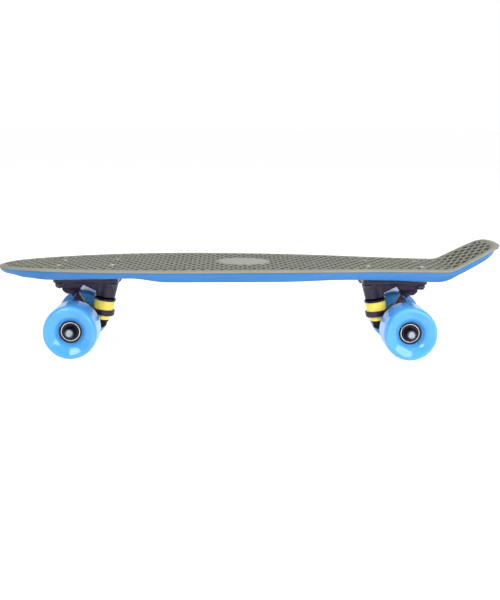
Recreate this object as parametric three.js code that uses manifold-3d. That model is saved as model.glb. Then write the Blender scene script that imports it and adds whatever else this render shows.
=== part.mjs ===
// A cruiser skateboard: moulded deck with a kicked tail, two steering trucks and four cast wheels.
// Millimetres, +Z up, +X towards the tail. The origin is on the floor, under the middle of the board.
import * as THREE from 'three';
import { mergeVertices } from 'three/addons/utils/BufferGeometryUtils.js';
import Module from 'manifold-3d';

const wasm = await Module();
wasm.setup();

// Clearances, and the one overrun that every cut uses
const seatGap = 0.3;
const shaftGap = 0.1;
const overrun = 4;

// Board layout: distances along the board are taken from the axles
const wheelbase = 376.9;
const noseReach = 89.6;
const tailReach = 107.6;
const deckWidth = 152;

// Deck surface: its crest above the baseplates, the drop to the nose and the kick of the tail
const crestRise = 16;
const crestShift = 20;
const noseDrop = 4.4;
const kickReach = 47.4;
const kickAngle = THREE.MathUtils.degToRad(28.6);
const kickBlend = 4;
const tipEaseLength = 18;
const tipDrop = 3.4;

// Deck top layer: its rim, the sunk grip field and the bare round plate
const topThickness = 1.8;
const topTipThickness = 3;
const rimRound = 1.2;
const fieldInset = 9;
const fieldDepth = 0.8;
const plateDiameter = 60;
const plateHeight = 1.1;
const plateShift = 2.7;

// Deck body: skirt, skin and ribs underneath
const bodyInset = 0.6;
const bodyTailInset = 3;
const skirtDepth = 12.3;
const skirtWidth = 6;
const skirtDraft = 2.2;
const skinThickness = 3;
const hollowReach = 18;
const ribThickness = 2.2;
const ribDepth = 5.5;
const ribSpacing = 60;
const ribLaneSpacing = 30;
const padMargin = 1.8;
const padCorner = 5;

// Mounting bolts and lock nuts
const boltSpacingLong = 63.5;
const boltSpacingWide = 41.3;
const boltDiameter = 4.8;
const boltHeadDiameter = 9.2;
const boltHeadHeight = 2.2;
const boltTip = 1;
const lockNutWidth = 9.5;
const lockNutHeight = 5;

// Baseplate, in the truck's own frame: x towards the board's middle from the axle, depths below the flange
const baseTopRise = 53.7;
const boltCentre = 12.3;
const boltEndMargin = 4.5;
const boltSideMargin = 6.6;
const flangeThickness = 6;
const flangeCorner = 6;
const flangeEdge = 1;
const bossOuter = 17.2;
const bossDepth = 16.7;
const bossShoulderDepth = 9.7;
const bossWidth = 19;
const bossFootWidth = 11;
const bossCorner = 2.6;
const housingBottomRadius = 11.2;
const housingTopRadius = 13.2;
const gussetWidth = 17;
const gussetReach = 6;
const gussetKneeReach = 21.7;
const gussetKneeDepth = 11.8;
const gussetRibDrop = 4.2;

// Kingpin and what is stacked on it, measured down its tilted axis from the housing's end face
const kingpinTilt = THREE.MathUtils.degToRad(10);
const kingpinReach = 31.2;
const housingDepth = 18.8;
const kingpinDiameter = 8;
const kingpinHeadDiameter = 13;
const kingpinHeadHeight = 5;
const kingpinHeadSink = 1.2;
const kingpinTip = 1.5;
const kingpinNutWidth = 13;
const kingpinNutHeight = 7;
const cupWasherRim = 0.6;
const cupWasherDepth = 4.1;
const washerThickness = 1.5;
const coneWasherDiameter = 16.5;
const upperBushingDiameter = 23.6;
const upperBushingLength = 13.2;
const bushingRound = 1;
const lowerBushingTopDiameter = 18;
const lowerBushingBottomDiameter = 16;
const lowerBushingLength = 6.2;

// Pivot: the hanger's nose turns in a cup in the baseplate
const pivotReach = 8;
const pivotDepth = 4.7;
const pivotPinDiameter = 7;
const pivotCupWall = 1.3;
const pivotCupEnd = 2;
const pivotMouth = 10.5;
const pivotNeckGap = 2.5;

// Hanger
const hangerLength = 76;
const axleBarrelDiameter = 23;
const axleEndDiameter = 16.4;
const axleEndLength = 4;
const barrelMiddle = 26;
const ringWall = 1.4;
const ringThickness = 7;
const ringBoreGap = 2;
const ringSeatDepth = 1;
const neckHeight = 6;
const neckWidth = 12;
const webWidth = 50;
const webWaistWidth = 20;

// Axle and its nuts
const axleDiameter = 7.94;
const axleTip = 1.3;
const axleChamfer = 0.8;
const axleNutWidth = 12.7;
const axleNutHeight = 8.4;
const speedWasherThickness = 1;

// Wheels and bearings
const wheelDiameter = 60;
const wheelWidth = 45;
const treadWidth = 32;
const coreWidth = 25.6;
const coreWall = 1.5;
const coreRidge = 4.4;
const coreShoulder = 2.5;
const bearingDiameter = 22;
const bearingWidth = 7;
const bearingSpacing = 10;
const bearingShieldSink = 0.5;
const outerRaceThickness = 1.2;
const innerRaceThickness = 1.8;

// How finely round forms are divided
const tyreSegments = 24;
const roundSegments = 16;
const smallSegments = 12;
const boltSegments = 8;
const cornerSegments = 3;
const sideSteps = 26;
const cornerShare = Math.SQRT1_2;

// Places that follow from the sizes above
const frontAxleX = -wheelbase / 2;
const rearAxleX = wheelbase / 2;
const noseX = frontAxleX - noseReach;
const tailX = rearAxleX + tailReach;
const deckLength = tailX - noseX;
const kickX = rearAxleX + kickReach;
const axleHeight = wheelDiameter / 2;
const baseTopHeight = axleHeight + baseTopRise;
const crestHeight = baseTopHeight + crestRise;
const wheelCentreY = hangerLength / 2 + speedWasherThickness + bearingWidth + bearingSpacing / 2;
const outerBearingShift = (bearingSpacing + bearingWidth) / 2;
const axleNutShift = outerBearingShift + bearingWidth / 2 + speedWasherThickness + seatGap;
const axleEnd = wheelCentreY + axleNutShift + axleNutHeight + axleTip;
const hubRadius = bearingDiameter / 2 + shaftGap + coreWall;
const baseBottomHeight = baseTopHeight - flangeThickness;
const bossBottomHeight = baseBottomHeight - bossDepth;
const gussetKneeHeight = baseBottomHeight - gussetKneeDepth;
const kingpinFaceHeight = baseBottomHeight - housingDepth;
const padHeight = baseTopHeight + seatGap;
const baseOuter = boltSpacingLong / 2 + boltEndMargin - boltCentre;
const baseInner = boltSpacingLong / 2 + boltEndMargin + boltCentre;
const baseWidth = boltSpacingWide + 2 * boltSideMargin;
const upperBushingStart = seatGap + washerThickness + seatGap;
const ringTop = upperBushingStart + upperBushingLength + seatGap - ringSeatDepth;
const ringBottom = ringTop + ringThickness;
const lowerBushingStart = ringBottom - ringSeatDepth + seatGap;
const coneWasherStart = lowerBushingStart + lowerBushingLength + seatGap;
const kingpinNutStart = coneWasherStart + washerThickness + seatGap;
const kingpinEnd = kingpinNutStart + kingpinNutHeight + kingpinTip;
const kingpinDown = new THREE.Vector2(-Math.sin(kingpinTilt), -Math.cos(kingpinTilt));
const ringCentre = new THREE.Vector2(kingpinReach, kingpinFaceHeight)
  .addScaledVector(kingpinDown, (ringTop + ringBottom) / 2);
const ringRadius = upperBushingDiameter / 2 + seatGap + ringWall;
const cupRadius = pivotPinDiameter / 2 + seatGap + pivotCupWall;
const pivotPoint = new THREE.Vector2(-pivotReach, baseBottomHeight - pivotDepth);
const pivotTilt = Math.atan2(pivotPoint.x - ringCentre.x, pivotPoint.y - ringCentre.y);

// The two trucks face each other across the middle of the board
const trucks = [
  { end: 'front', x: frontAxleX, inward: 1 },
  { end: 'rear', x: rearAxleX, inward: -1 },
];

// Half outline of the deck: share of its length, share of its half width
const outlineShares = [
  [0, 0], [0.0051, 0.185], [0.0242, 0.38], [0.0667, 0.572], [0.1293, 0.753], [0.2121, 0.895], [0.296, 0.978],
  [0.3798, 1], [0.5051, 0.95], [0.5889, 0.895], [0.6727, 0.813], [0.7556, 0.715], [0.8394, 0.662], [0.902, 0.636],
  [0.9435, 0.608], [0.9727, 0.553], [0.9875, 0.476], [0.9955, 0.355], [0.999, 0.184], [1, 0],
];

// Skirt depth along the deck: share of its length, share of the full skirt depth
const skirtShares = [
  [0, 0.48], [0.0303, 0.58], [0.0667, 0.8], [0.1081, 0.91], [0.1515, 0.84], [0.2121, 0.74], [0.2747, 0.64],
  [0.3434, 0.96], [0.5556, 1], [0.6869, 0.86], [0.7576, 0.93], [0.8687, 1.06], [0.9091, 0.74], [0.9596, 0.735],
  [0.985, 0.67], [1, 0.5],
];

// Wheel side: share of the way in from the tread radius to the hub, share of the way out to the face
const tyreSideShares = [[0, 0], [0.05, 0.5], [0.2, 0.9], [0.42, 1], [0.93, 0.02]];

// Where the tail's round end begins
const tailTipShare = 0.93;

// Sections round the kick's bend, as shares of its blend
const kickStepShares = [-2, -0.8, 0, 0.8, 2];

// Outer wall of the skirt from its foot up: share of the draft in from the edge, share of the depth down
const skirtWallShares = [[1, 1], [0.33, 0.6], [0, 0]];

// How much of a narrow tip is left solid, and how far the ribs reach into the skirt and down it
const tipFillShare = 0.9;
const ribLapShare = 0.25;
const ribDepthShare = 0.85;

// Side of the hanger's web round the axle: shares of the barrel's radius along and up from the axle
const webUnderShares = [[-0.48, 2.3], [-0.6, 1.3], [-0.96, 0.2], [-0.3, -0.8], [0.9, -0.35]];
const webOverShares = [[0.8, 2]];

// Where the web meets the ring: shares of the ring's thickness in from its edge and up from its centre
const webRingShares = [[0.25, -0.15], [0, 0.72]];

// Front of the web at its shoulder, waist and neck: shares of the barrel's radius up from the axle
const webShoulderShare = 0.45;
const webWaistShare = 1.3;
const webNeckShare = 2.4;

const halfWidthShare = outlineTable();

// The outline as a fine table that can be looked up by length share
function outlineTable() {
  const corners = outlineShares.map(([along, across]) => new THREE.Vector3(along, across, 0));
  const curve = new THREE.CatmullRomCurve3(corners, false, 'centripetal');
  return curve.getSpacedPoints(outlineShares.length * sideSteps).map((point) => [point.x, point.y]);
}

// Straight-line reading of a table of pairs
function lookUp(table, key) {
  const above = table.findIndex(([start]) => start >= key);
  if (above < 1) {
    return table[above < 0 ? table.length - 1 : 0][1];
  }
  const [x0, y0] = table[above - 1];
  const [x1, y1] = table[above];
  return x1 > x0 ? y0 + (y1 - y0) * (key - x0) / (x1 - x0) : y1;
}

// The same with each step eased in and out
function lookUpEased(table, key) {
  const above = table.findIndex(([start]) => start >= key);
  if (above < 1) {
    return table[above < 0 ? table.length - 1 : 0][1];
  }
  const [x0, y0] = table[above - 1];
  const [x1, y1] = table[above];
  return y0 + (y1 - y0) * THREE.MathUtils.smoothstep(key, x0, x1);
}

// Height of the deck's top surface, with its crown, the blended kick and the eased tail tip
function surfaceHeight(x) {
  const fromCrest = (x - crestShift) / (crestShift - noseX);
  const pastKick = x - kickX;
  const kickRun = (pastKick + Math.hypot(pastKick, kickBlend)) / 2;
  const tip = Math.max(0, (x - tailX + tipEaseLength) / tipEaseLength);
  return crestHeight - noseDrop * fromCrest ** 2 + Math.tan(kickAngle) * kickRun - tipDrop * tip ** 2;
}

// Thickness of the top layer, which grows to a full lip at the tail tip
function topLayer(x) {
  const towardTip = THREE.MathUtils.smoothstep(x, tailX - tipEaseLength, tailX);
  return topThickness + (topTipThickness - topThickness) * towardTip;
}

// Places along the deck where its sections lie, shared by all deck forms: close at the tips and the kick
function sectionPlaces() {
  const evenly = halfWidthShare.filter((pair, index) => index % sideSteps === sideSteps / 2);
  const along = evenly.map(([share]) => noseX + share * deckLength);
  const bodyTail = evenly.filter(([share]) => share > tailTipShare)
    .map(([share]) => noseX + share * (deckLength - bodyTailInset));
  const kick = kickStepShares.map((step) => kickX + step * kickBlend);
  const sorted = [...along, ...bodyTail, ...kick].sort((a, b) => a - b);
  return sorted.filter((x, index) => index === 0 || x - sorted[index - 1] > kickBlend / 2);
}

// Stations of a deck form between its own two tips
function deckStations(startX, endX, halfWidth) {
  const length = endX - startX;
  const tip = halfWidthShare[1][0] * length;
  const inside = sectionPlaces().filter((x) => x > startX + 2 * tip && x < endX - 2 * tip);
  return [startX + tip, ...inside, endX - tip].map((x) => (
    { x, half: halfWidth * lookUp(halfWidthShare, (x - startX) / length) }));
}

// A closed solid through sections that all have the same number of corners
function loft(sections) {
  const count = sections[0].length;
  const positions = sections.flat().flatMap((point) => point.toArray());
  const index = [];
  for (let row = 0; row < sections.length - 1; row += 1) {
    for (let corner = 0; corner < count; corner += 1) {
      const next = (corner + 1) % count;
      const a = row * count + corner;
      const b = row * count + next;
      index.push(a, b, b + count, a, b + count, a + count);
    }
  }
  const lastRow = (sections.length - 1) * count;
  const startFaces = THREE.ShapeUtils.triangulateShape(flat(sections[0]), []);
  const endFaces = THREE.ShapeUtils.triangulateShape(flat(sections[sections.length - 1]), []);
  startFaces.forEach(([a, b, c]) => index.push(a, c, b));
  endFaces.forEach(([a, b, c]) => index.push(a + lastRow, b + lastRow, c + lastRow));
  const geometry = new THREE.BufferGeometry();
  geometry.setAttribute('position', new THREE.Float32BufferAttribute(positions, 3));
  geometry.setIndex(index);
  return geometry;
}

// A section's corners seen along the board
function flat(section) {
  return section.map((point) => new THREE.Vector2(point.y, point.z));
}

// A geometry as a solid for joins and cuts
function toSolid(geometry) {
  const bare = geometry.clone();
  bare.deleteAttribute('normal');
  bare.deleteAttribute('uv');
  const merged = mergeVertices(bare);
  const index = Array.from(merged.index.array);
  const triangles = [];
  for (let i = 0; i < index.length; i += 3) {
    const [a, b, c] = index.slice(i, i + 3);
    if (a !== b && b !== c && c !== a) {
      triangles.push(a, b, c);
    }
  }
  return new wasm.Manifold(new wasm.Mesh({
    numProp: 3,
    vertProperties: Float32Array.from(merged.attributes.position.array),
    triVerts: Uint32Array.from(triangles),
  }));
}

// A solid back as a geometry
function toGeometry(solid) {
  const { vertProperties, triVerts } = solid.getMesh();
  const geometry = new THREE.BufferGeometry();
  geometry.setAttribute('position', new THREE.BufferAttribute(vertProperties, 3));
  geometry.setIndex(new THREE.BufferAttribute(triVerts, 1));
  geometry.computeVertexNormals();
  return geometry;
}

// Joins a list of geometries and cuts another list from them
function combine(added, removed = []) {
  const joined = added.map(toSolid).reduce((whole, piece) => whole.add(piece));
  return toGeometry(removed.map(toSolid).reduce((whole, piece) => whole.subtract(piece), joined));
}

// A turned form about the Y axis, from pairs of radius and distance along
function turned(profile, segments = roundSegments) {
  const points = profile.map(([radius, along]) => new THREE.Vector2(radius, along));
  return new THREE.LatheGeometry(points, segments);
}

// A turned ring or tube: its profile is closed here
function turnedRing(profile, segments = roundSegments) {
  return turned([...profile, profile[0]], segments);
}

// A plain round bar for bores and pins, between two distances
function bar(radius, start, end, segments = roundSegments) {
  return turned([[0, start], [radius, start], [radius, end], [0, end]], segments);
}

// Puts a turned form on an axis in the XZ plane, tilted from upright towards +X
function onAxis(geometry, tilt, point) {
  return geometry.rotateX(Math.PI / 2).rotateY(tilt).translate(point.x, 0, point.y);
}

// A turned form on the kingpin's axis, its distances measured up from the housing's end face
function onKingpin(geometry) {
  return onAxis(geometry, kingpinTilt, new THREE.Vector2(kingpinReach, kingpinFaceHeight));
}

// A turned form on the pivot's axis, its distances measured up from the pivot point
function onPivot(geometry) {
  return onAxis(geometry, pivotTilt, pivotPoint);
}

// A side profile in x and z, given width across the board
function across(profile, width) {
  const shape = new THREE.Shape(profile.map(([x, z]) => new THREE.Vector2(x, z)));
  const geometry = new THREE.ExtrudeGeometry(shape, { depth: width, bevelEnabled: false });
  return geometry.rotateX(Math.PI / 2).translate(0, width / 2, 0);
}

// A rectangle with round corners between two x values
function roundedPlan(startX, endX, width, corner) {
  const half = width / 2;
  const shape = new THREE.Shape();
  shape.absarc(endX - corner, half - corner, corner, 0, Math.PI / 2);
  shape.absarc(startX + corner, half - corner, corner, Math.PI / 2, Math.PI);
  shape.absarc(startX + corner, corner - half, corner, Math.PI, Math.PI * 3 / 2);
  shape.absarc(endX - corner, corner - half, corner, Math.PI * 3 / 2, Math.PI * 2);
  return shape;
}

// A plan outline raised between two heights
function raised(shape, bottom, top) {
  const settings = { depth: top - bottom, bevelEnabled: false, curveSegments: cornerSegments };
  return new THREE.ExtrudeGeometry(shape, settings).translate(0, 0, bottom);
}

// A hexagonal nut that stands on the XZ plane along +Y
function hexNut(width, height, bore, segments = smallSegments) {
  const corner = width / Math.sqrt(3);
  const corners = [0, 1, 2, 3, 4, 5].map((turn) => (
    new THREE.Vector2(corner * Math.cos(turn * Math.PI / 3), corner * Math.sin(turn * Math.PI / 3))));
  const shape = new THREE.Shape(corners);
  shape.holes.push(new THREE.Path().absarc(0, 0, bore, 0, Math.PI * 2));
  const settings = { depth: height, bevelEnabled: false, curveSegments: segments / 2 };
  return new THREE.ExtrudeGeometry(shape, settings).rotateX(-Math.PI / 2);
}

// Section of the top layer at one station
function topSection({ x, half }) {
  const top = surfaceHeight(x);
  const round = Math.min(rimRound, half / 2);
  const soft = round * (1 - cornerShare);
  const bottom = top - topLayer(x);
  const right = [[half, bottom], [half, top - round], [half - soft, top - soft], [half - round, top]];
  return mirrored(right).map(([y, z]) => new THREE.Vector3(x, y, z));
}

// Section of the sunk field at one station, which cuts the top layer
function fieldSection({ x, half }) {
  const floor = surfaceHeight(x) - fieldDepth;
  const right = [[half, floor], [half, floor + overrun]];
  return mirrored(right).map(([y, z]) => new THREE.Vector3(x, y, z));
}

// Adds the left half of a section to its right half
function mirrored(right) {
  const left = right.map(([y, z]) => [-y, z]).reverse();
  return [...right, ...left];
}

// Depth of the body below its own top face at one station
function bodyDepth(x) {
  const share = (x - noseX) / deckLength;
  return skirtDepth * lookUpEased(skirtShares, share) - topThickness;
}

// Top face of the body at one station
function bodyTop(x) {
  return surfaceHeight(x) - topLayer(x) - seatGap;
}

// Section of the body: outer wall, foot of the skirt, inner wall and the skin's underside
function bodySection({ x, half }) {
  const top = bodyTop(x);
  const depth = bodyDepth(x);
  const draft = Math.min(skirtDraft, half / 4);
  const inner = Math.max(half - skirtWidth, half / 4);
  const hollow = THREE.MathUtils.smoothstep(half, skirtWidth, hollowReach);
  const roof = Math.min(skinThickness, depth) * hollow + depth * tipFillShare * (1 - hollow);
  const wall = skirtWallShares.map(([inward, down]) => [half - draft * inward, top - depth * down]);
  const right = [[0, top - roof], [inner - draft / 2, top - roof], [inner, top - depth], ...wall];
  const left = right.slice(1).map(([y, z]) => [-y, z]).reverse();
  return [...right, ...left].map(([y, z]) => new THREE.Vector3(x, y, z));
}

// Section of the space that the ribs fill, which laps into the skin and the skirt
function ribSection({ x, half }) {
  const top = bodyTop(x) - skinThickness / 2;
  const reach = Math.max(half - skirtWidth * (1 - ribLapShare), half / 4);
  const depth = Math.min(skinThickness + ribDepth, bodyDepth(x) * ribDepthShare);
  const right = [[reach, bodyTop(x) - depth], [reach, top]];
  return mirrored(right).map(([y, z]) => new THREE.Vector3(x, y, z));
}

// A solid that follows the deck between two x values
function deckLoft(startX, endX, halfWidth, section) {
  return loft(deckStations(startX, endX, halfWidth).map(section));
}

// The same between the tips of the body
function bodyLoft(section) {
  return deckLoft(noseX + bodyInset, tailX - bodyTailInset, deckWidth / 2 - bodyInset, section);
}

// Lengthwise and crosswise ribs under the skin
function deckRibs() {
  const space = toSolid(bodyLoft(ribSection));
  const tall = new THREE.Vector2(baseTopHeight - overrun, crestHeight + deckWidth / 2);
  const sheets = [];
  for (const lane of [-1, 0, 1]) {
    const lengthwise = new THREE.BoxGeometry(deckLength, ribThickness, tall.y - tall.x);
    sheets.push(lengthwise.translate((noseX + tailX) / 2, lane * ribLaneSpacing, (tall.x + tall.y) / 2));
  }
  const ribPairs = Math.floor(deckLength / ribSpacing / 2);
  for (let step = -ribPairs; step <= ribPairs; step += 1) {
    const crosswise = new THREE.BoxGeometry(ribThickness, deckWidth, tall.y - tall.x);
    sheets.push(crosswise.translate((noseX + tailX) / 2 + step * ribSpacing, 0, (tall.x + tall.y) / 2));
  }
  return sheets.map(toSolid).reduce((whole, sheet) => whole.add(sheet)).intersect(space);
}

// Where the mounting bolts stand, in the truck's own frame
function boltPlaces() {
  const rows = [-boltSpacingLong / 2, boltSpacingLong / 2];
  const columns = [-boltSpacingWide / 2, boltSpacingWide / 2];
  return rows.flatMap((row) => columns.map((column) => new THREE.Vector2(boltCentre + row, column)));
}

// An upright bolt hole between two heights
function boltHole(bottom, top) {
  return bar(boltDiameter / 2 + seatGap, bottom, top, boltSegments).rotateX(Math.PI / 2);
}

// Bolt holes through the deck over both trucks
function deckBoltHoles() {
  return trucks.flatMap(({ x, inward }) => boltPlaces().map((place) => (
    boltHole(baseTopHeight, crestHeight + overrun).translate(x + inward * place.x, place.y, 0))));
}

// Top layer: a plate with a rounded rim, a sunk field and a bare round plate standing in it
function deckTop() {
  const layer = toSolid(deckLoft(noseX, tailX, deckWidth / 2, topSection));
  const field = deckLoft(noseX + fieldInset, tailX - fieldInset, deckWidth / 2 - fieldInset, fieldSection);
  const surface = surfaceHeight(plateShift);
  const plate = bar(plateDiameter / 2, surface - topThickness / 2, surface + plateHeight, tyreSegments);
  plate.rotateX(Math.PI / 2).translate(plateShift, 0, 0);
  const whole = layer.subtract(toSolid(field)).add(toSolid(plate));
  return toGeometry(deckBoltHoles().map(toSolid).reduce((left, hole) => left.subtract(hole), whole));
}

// Pad that a baseplate seats on, its top edge inside the skin
function truckPad({ x, inward }) {
  const reaches = [-baseOuter - padMargin, baseInner + padMargin];
  const ends = reaches.map((reach) => x + inward * reach).sort((a, b) => a - b);
  const plan = roundedPlan(ends[0], ends[1], baseWidth + 2 * padMargin, padCorner);
  const roofed = across([
    [ends[0], padHeight], [ends[1], padHeight],
    [ends[1], bodyTop(ends[1]) - skinThickness / 2], [ends[0], bodyTop(ends[0]) - skinThickness / 2],
  ], deckWidth);
  return toSolid(raised(plan, padHeight, crestHeight)).intersect(toSolid(roofed));
}

// Body: shell with a skirt, ribs and truck pads
function deckBody() {
  const shell = toSolid(bodyLoft(bodySection));
  const whole = trucks.map(truckPad).reduce((joined, pad) => joined.add(pad), shell.add(deckRibs()));
  return toGeometry(deckBoltHoles().map(toSolid).reduce((left, hole) => left.subtract(hole), whole));
}

// Mounting bolt: head on the grip field, shank down through the baseplate and its lock nut
function mountingBolt(surface) {
  const seat = surface - fieldDepth + seatGap;
  const tip = baseBottomHeight - seatGap - lockNutHeight - boltTip;
  const head = boltHeadDiameter / 2;
  const shank = boltDiameter / 2;
  return turned([
    [0, tip], [shank, tip], [shank, seat], [head, seat], [head, seat + boltHeadHeight / 2],
    [shank, seat + boltHeadHeight], [0, seat + boltHeadHeight],
  ], boltSegments).rotateX(Math.PI / 2);
}

// Lock nut under the baseplate
function lockNut() {
  const bottom = baseBottomHeight - seatGap - lockNutHeight;
  const nut = hexNut(lockNutWidth, lockNutHeight, boltDiameter / 2 + shaftGap, boltSegments);
  return nut.rotateX(Math.PI / 2).translate(0, 0, bottom);
}

// Point on the pivot's axis, a distance from the pivot point towards the ring
function alongPivot(distance) {
  const direction = ringCentre.clone().sub(pivotPoint).normalize();
  return pivotPoint.clone().addScaledVector(direction, distance);
}

// Point square to the pivot's axis, from the point at a distance along it
function besidePivot(distance, side) {
  const direction = ringCentre.clone().sub(pivotPoint).normalize();
  return alongPivot(distance).add(new THREE.Vector2(-direction.y, direction.x).multiplyScalar(side));
}

// Place on a side profile where the pivot's mouth face meets a height
function mouthAt(height) {
  const mouth = alongPivot(pivotMouth);
  const upper = besidePivot(pivotMouth, 1);
  const rise = (height - mouth.y) / (upper.y - mouth.y);
  return [mouth.x + rise * (upper.x - mouth.x), height];
}

// Height of the kingpin housing's end face at an x
function housingFace(x) {
  return kingpinFaceHeight - (x - kingpinReach) * Math.tan(kingpinTilt);
}

// Half an outline across the truck, mirrored and drawn out along the whole baseplate
function lengthwise(right) {
  const shape = new THREE.Shape(mirrored(right).map(([y, z]) => new THREE.Vector2(y, z)));
  const geometry = new THREE.ExtrudeGeometry(shape, { depth: baseOuter + baseInner, bevelEnabled: false });
  return geometry.rotateX(Math.PI / 2).rotateZ(Math.PI / 2).translate(-baseOuter, 0, 0);
}

// Baseplate: flange, pivot boss, tilted kingpin housing and the gusset between them
function baseplate() {
  const middle = (baseTopHeight + baseBottomHeight) / 2;
  const plan = roundedPlan(-baseOuter, baseInner, baseWidth, flangeCorner);
  const lowerPlan = roundedPlan(-baseOuter + flangeEdge, baseInner - flangeEdge, baseWidth - 2 * flangeEdge,
    flangeCorner - flangeEdge);
  const flange = raised(plan, baseBottomHeight + flangeEdge, baseTopHeight);
  const flangeLip = raised(lowerPlan, baseBottomHeight, middle);
  const housingHeight = (middle - kingpinFaceHeight) / Math.cos(kingpinTilt);
  const housing = onKingpin(turned([[0, 0], [housingBottomRadius, 0], [housingTopRadius, housingHeight],
    [0, housingHeight]]));
  const ribHeight = baseBottomHeight - gussetRibDrop;
  const gusset = across([
    mouthAt(middle), [gussetReach, ribHeight], [gussetKneeReach, gussetKneeHeight],
    [gussetKneeReach, housingFace(gussetKneeReach)],
    [kingpinReach, kingpinFaceHeight], [kingpinReach, middle],
  ], gussetWidth);
  const bossSide = across([
    [-bossOuter, middle], [-bossOuter, bossBottomHeight + bossCorner],
    [bossCorner - bossOuter, bossBottomHeight], mouthAt(bossBottomHeight), mouthAt(middle),
  ], bossWidth);
  const bossFront = lengthwise([
    [bossFootWidth / 2, bossBottomHeight], [bossWidth / 2, baseBottomHeight - bossShoulderDepth],
    [bossWidth / 2, middle],
  ]);
  const boss = toGeometry(toSolid(bossSide).intersect(toSolid(bossFront)));
  const cupHole = onPivot(bar(cupRadius + seatGap, -pivotMouth - overrun, pivotCupEnd + cupRadius + seatGap));
  const shank = kingpinDiameter / 2 + seatGap;
  const pinHole = onKingpin(bar(shank, -overrun, housingHeight + overrun, smallSegments));
  const pocketFloor = kingpinHeadFloor() - seatGap;
  const pocket = onKingpin(bar(kingpinHeadDiameter / 2 + seatGap, pocketFloor, pocketFloor + housingHeight));
  const boltHoles = boltPlaces().map((place) => (
    boltHole(baseBottomHeight - overrun, baseTopHeight + overrun).translate(place.x, place.y, 0)));
  return combine([flange, flangeLip, housing, gusset, boss], [cupHole, pinHole, pocket, ...boltHoles]);
}

// Distance up the kingpin's axis to the underside of its head
function kingpinHeadFloor() {
  const headTop = (baseTopHeight - kingpinHeadSink - kingpinFaceHeight) / Math.cos(kingpinTilt);
  return headTop - kingpinHeadHeight - kingpinHeadDiameter / 2 * Math.tan(kingpinTilt);
}

// Kingpin: a bolt whose head sits in the top of the baseplate
function kingpin() {
  const head = kingpinHeadDiameter / 2;
  const shank = kingpinDiameter / 2;
  const floor = kingpinHeadFloor();
  return onKingpin(turned([
    [0, -kingpinEnd], [shank - axleChamfer, -kingpinEnd], [shank, axleChamfer - kingpinEnd], [shank, floor],
    [head, floor], [head, floor + kingpinHeadHeight], [0, floor + kingpinHeadHeight],
  ], smallSegments));
}

// Nut at the kingpin's lower end
function kingpinNut() {
  const nut = hexNut(kingpinNutWidth, kingpinNutHeight, kingpinDiameter / 2 + shaftGap);
  return onKingpin(nut.translate(0, -kingpinNutStart - kingpinNutHeight, 0));
}

// Cup washer between housing and upper bushing, its rim turned down round the rubber
function cupWasher() {
  const bore = kingpinDiameter / 2 + seatGap;
  const inner = upperBushingDiameter / 2 + seatGap;
  const outer = inner + cupWasherRim;
  return onKingpin(turnedRing([
    [bore, -seatGap - washerThickness], [inner, -seatGap - washerThickness], [inner, -cupWasherDepth],
    [outer, -cupWasherDepth], [outer, -seatGap - washerThickness], [outer - washerThickness, -seatGap],
    [bore, -seatGap],
  ]));
}

// Flat washer under the lower bushing
function coneWasher() {
  const bore = kingpinDiameter / 2 + seatGap;
  const outer = coneWasherDiameter / 2;
  const top = -coneWasherStart;
  return onKingpin(turnedRing([
    [bore, top - washerThickness], [outer, top - washerThickness], [outer, top], [bore, top],
  ], smallSegments));
}

// Bushing between two distances down the kingpin, with soft edges
function bushing(start, length, topRadius, bottomRadius) {
  const bore = kingpinDiameter / 2 + seatGap;
  const top = -start;
  const bottom = -start - length;
  return onKingpin(turnedRing([
    [bore, bottom], [bottomRadius - bushingRound, bottom], [bottomRadius, bottom + bushingRound],
    [topRadius, top - bushingRound], [topRadius - bushingRound, top], [bore, top],
  ]));
}

// Pivot cup in the baseplate's boss
function pivotCup() {
  const inner = pivotPinDiameter / 2 + seatGap;
  const closed = pivotCupEnd + inner;
  return onPivot(turned([
    [0, inner], [inner * cornerShare, inner * cornerShare], [inner, 0], [inner, seatGap - pivotMouth],
    [cupRadius, seatGap - pivotMouth], [cupRadius, closed], [0, closed],
  ]));
}

// Barrel of the hanger round the axle, thick in its middle
function axleBarrel() {
  const half = hangerLength / 2;
  const end = axleEndDiameter / 2;
  const middle = axleBarrelDiameter / 2;
  return turned([
    [0, -half], [end, -half], [end, axleEndLength - half], [middle, -barrelMiddle / 2],
    [middle, barrelMiddle / 2], [end, half - axleEndLength], [end, half], [0, half],
  ]).translate(0, 0, axleHeight);
}

// Side profile of the web from the neck down round the axle and out to the ring
function webSide() {
  const radius = axleBarrelDiameter / 2;
  const ringEdge = ringCentre.x - ringRadius;
  const neckEnd = pivotMouth + pivotNeckGap;
  const neck = [besidePivot(neckEnd, neckHeight / 2), besidePivot(neckEnd, -neckHeight / 2)];
  const aroundAxle = ([along, up]) => [radius * along, axleHeight + radius * up];
  const atRing = webRingShares.map(([along, up]) => (
    [ringEdge + ringThickness * along, ringCentre.y + ringThickness * up]));
  const profile = [
    ...neck.map((point) => point.toArray()), ...webUnderShares.map(aroundAxle),
    ...atRing, ...webOverShares.map(aroundAxle),
  ];
  return across(profile, hangerLength);
}

// Front outline of the web: wide at the axle, drawn in to the neck
function webFront() {
  const radius = axleBarrelDiameter / 2;
  const right = [
    [webWidth / 2, axleHeight - radius], [webWidth / 2, axleHeight + radius * webShoulderShare],
    [webWaistWidth / 2, axleHeight + radius * webWaistShare],
    [neckWidth / 2, axleHeight + radius * webNeckShare], [neckWidth / 2, pivotPoint.y],
  ];
  return lengthwise(right);
}

// Round nose that turns in the pivot cup
function pivotNose() {
  const radius = pivotPinDiameter / 2;
  const root = -pivotMouth - pivotNeckGap - radius;
  return onPivot(turned([
    [0, root], [radius, root], [radius, 0], [radius * cornerShare, radius * cornerShare], [0, radius],
  ]));
}

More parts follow.
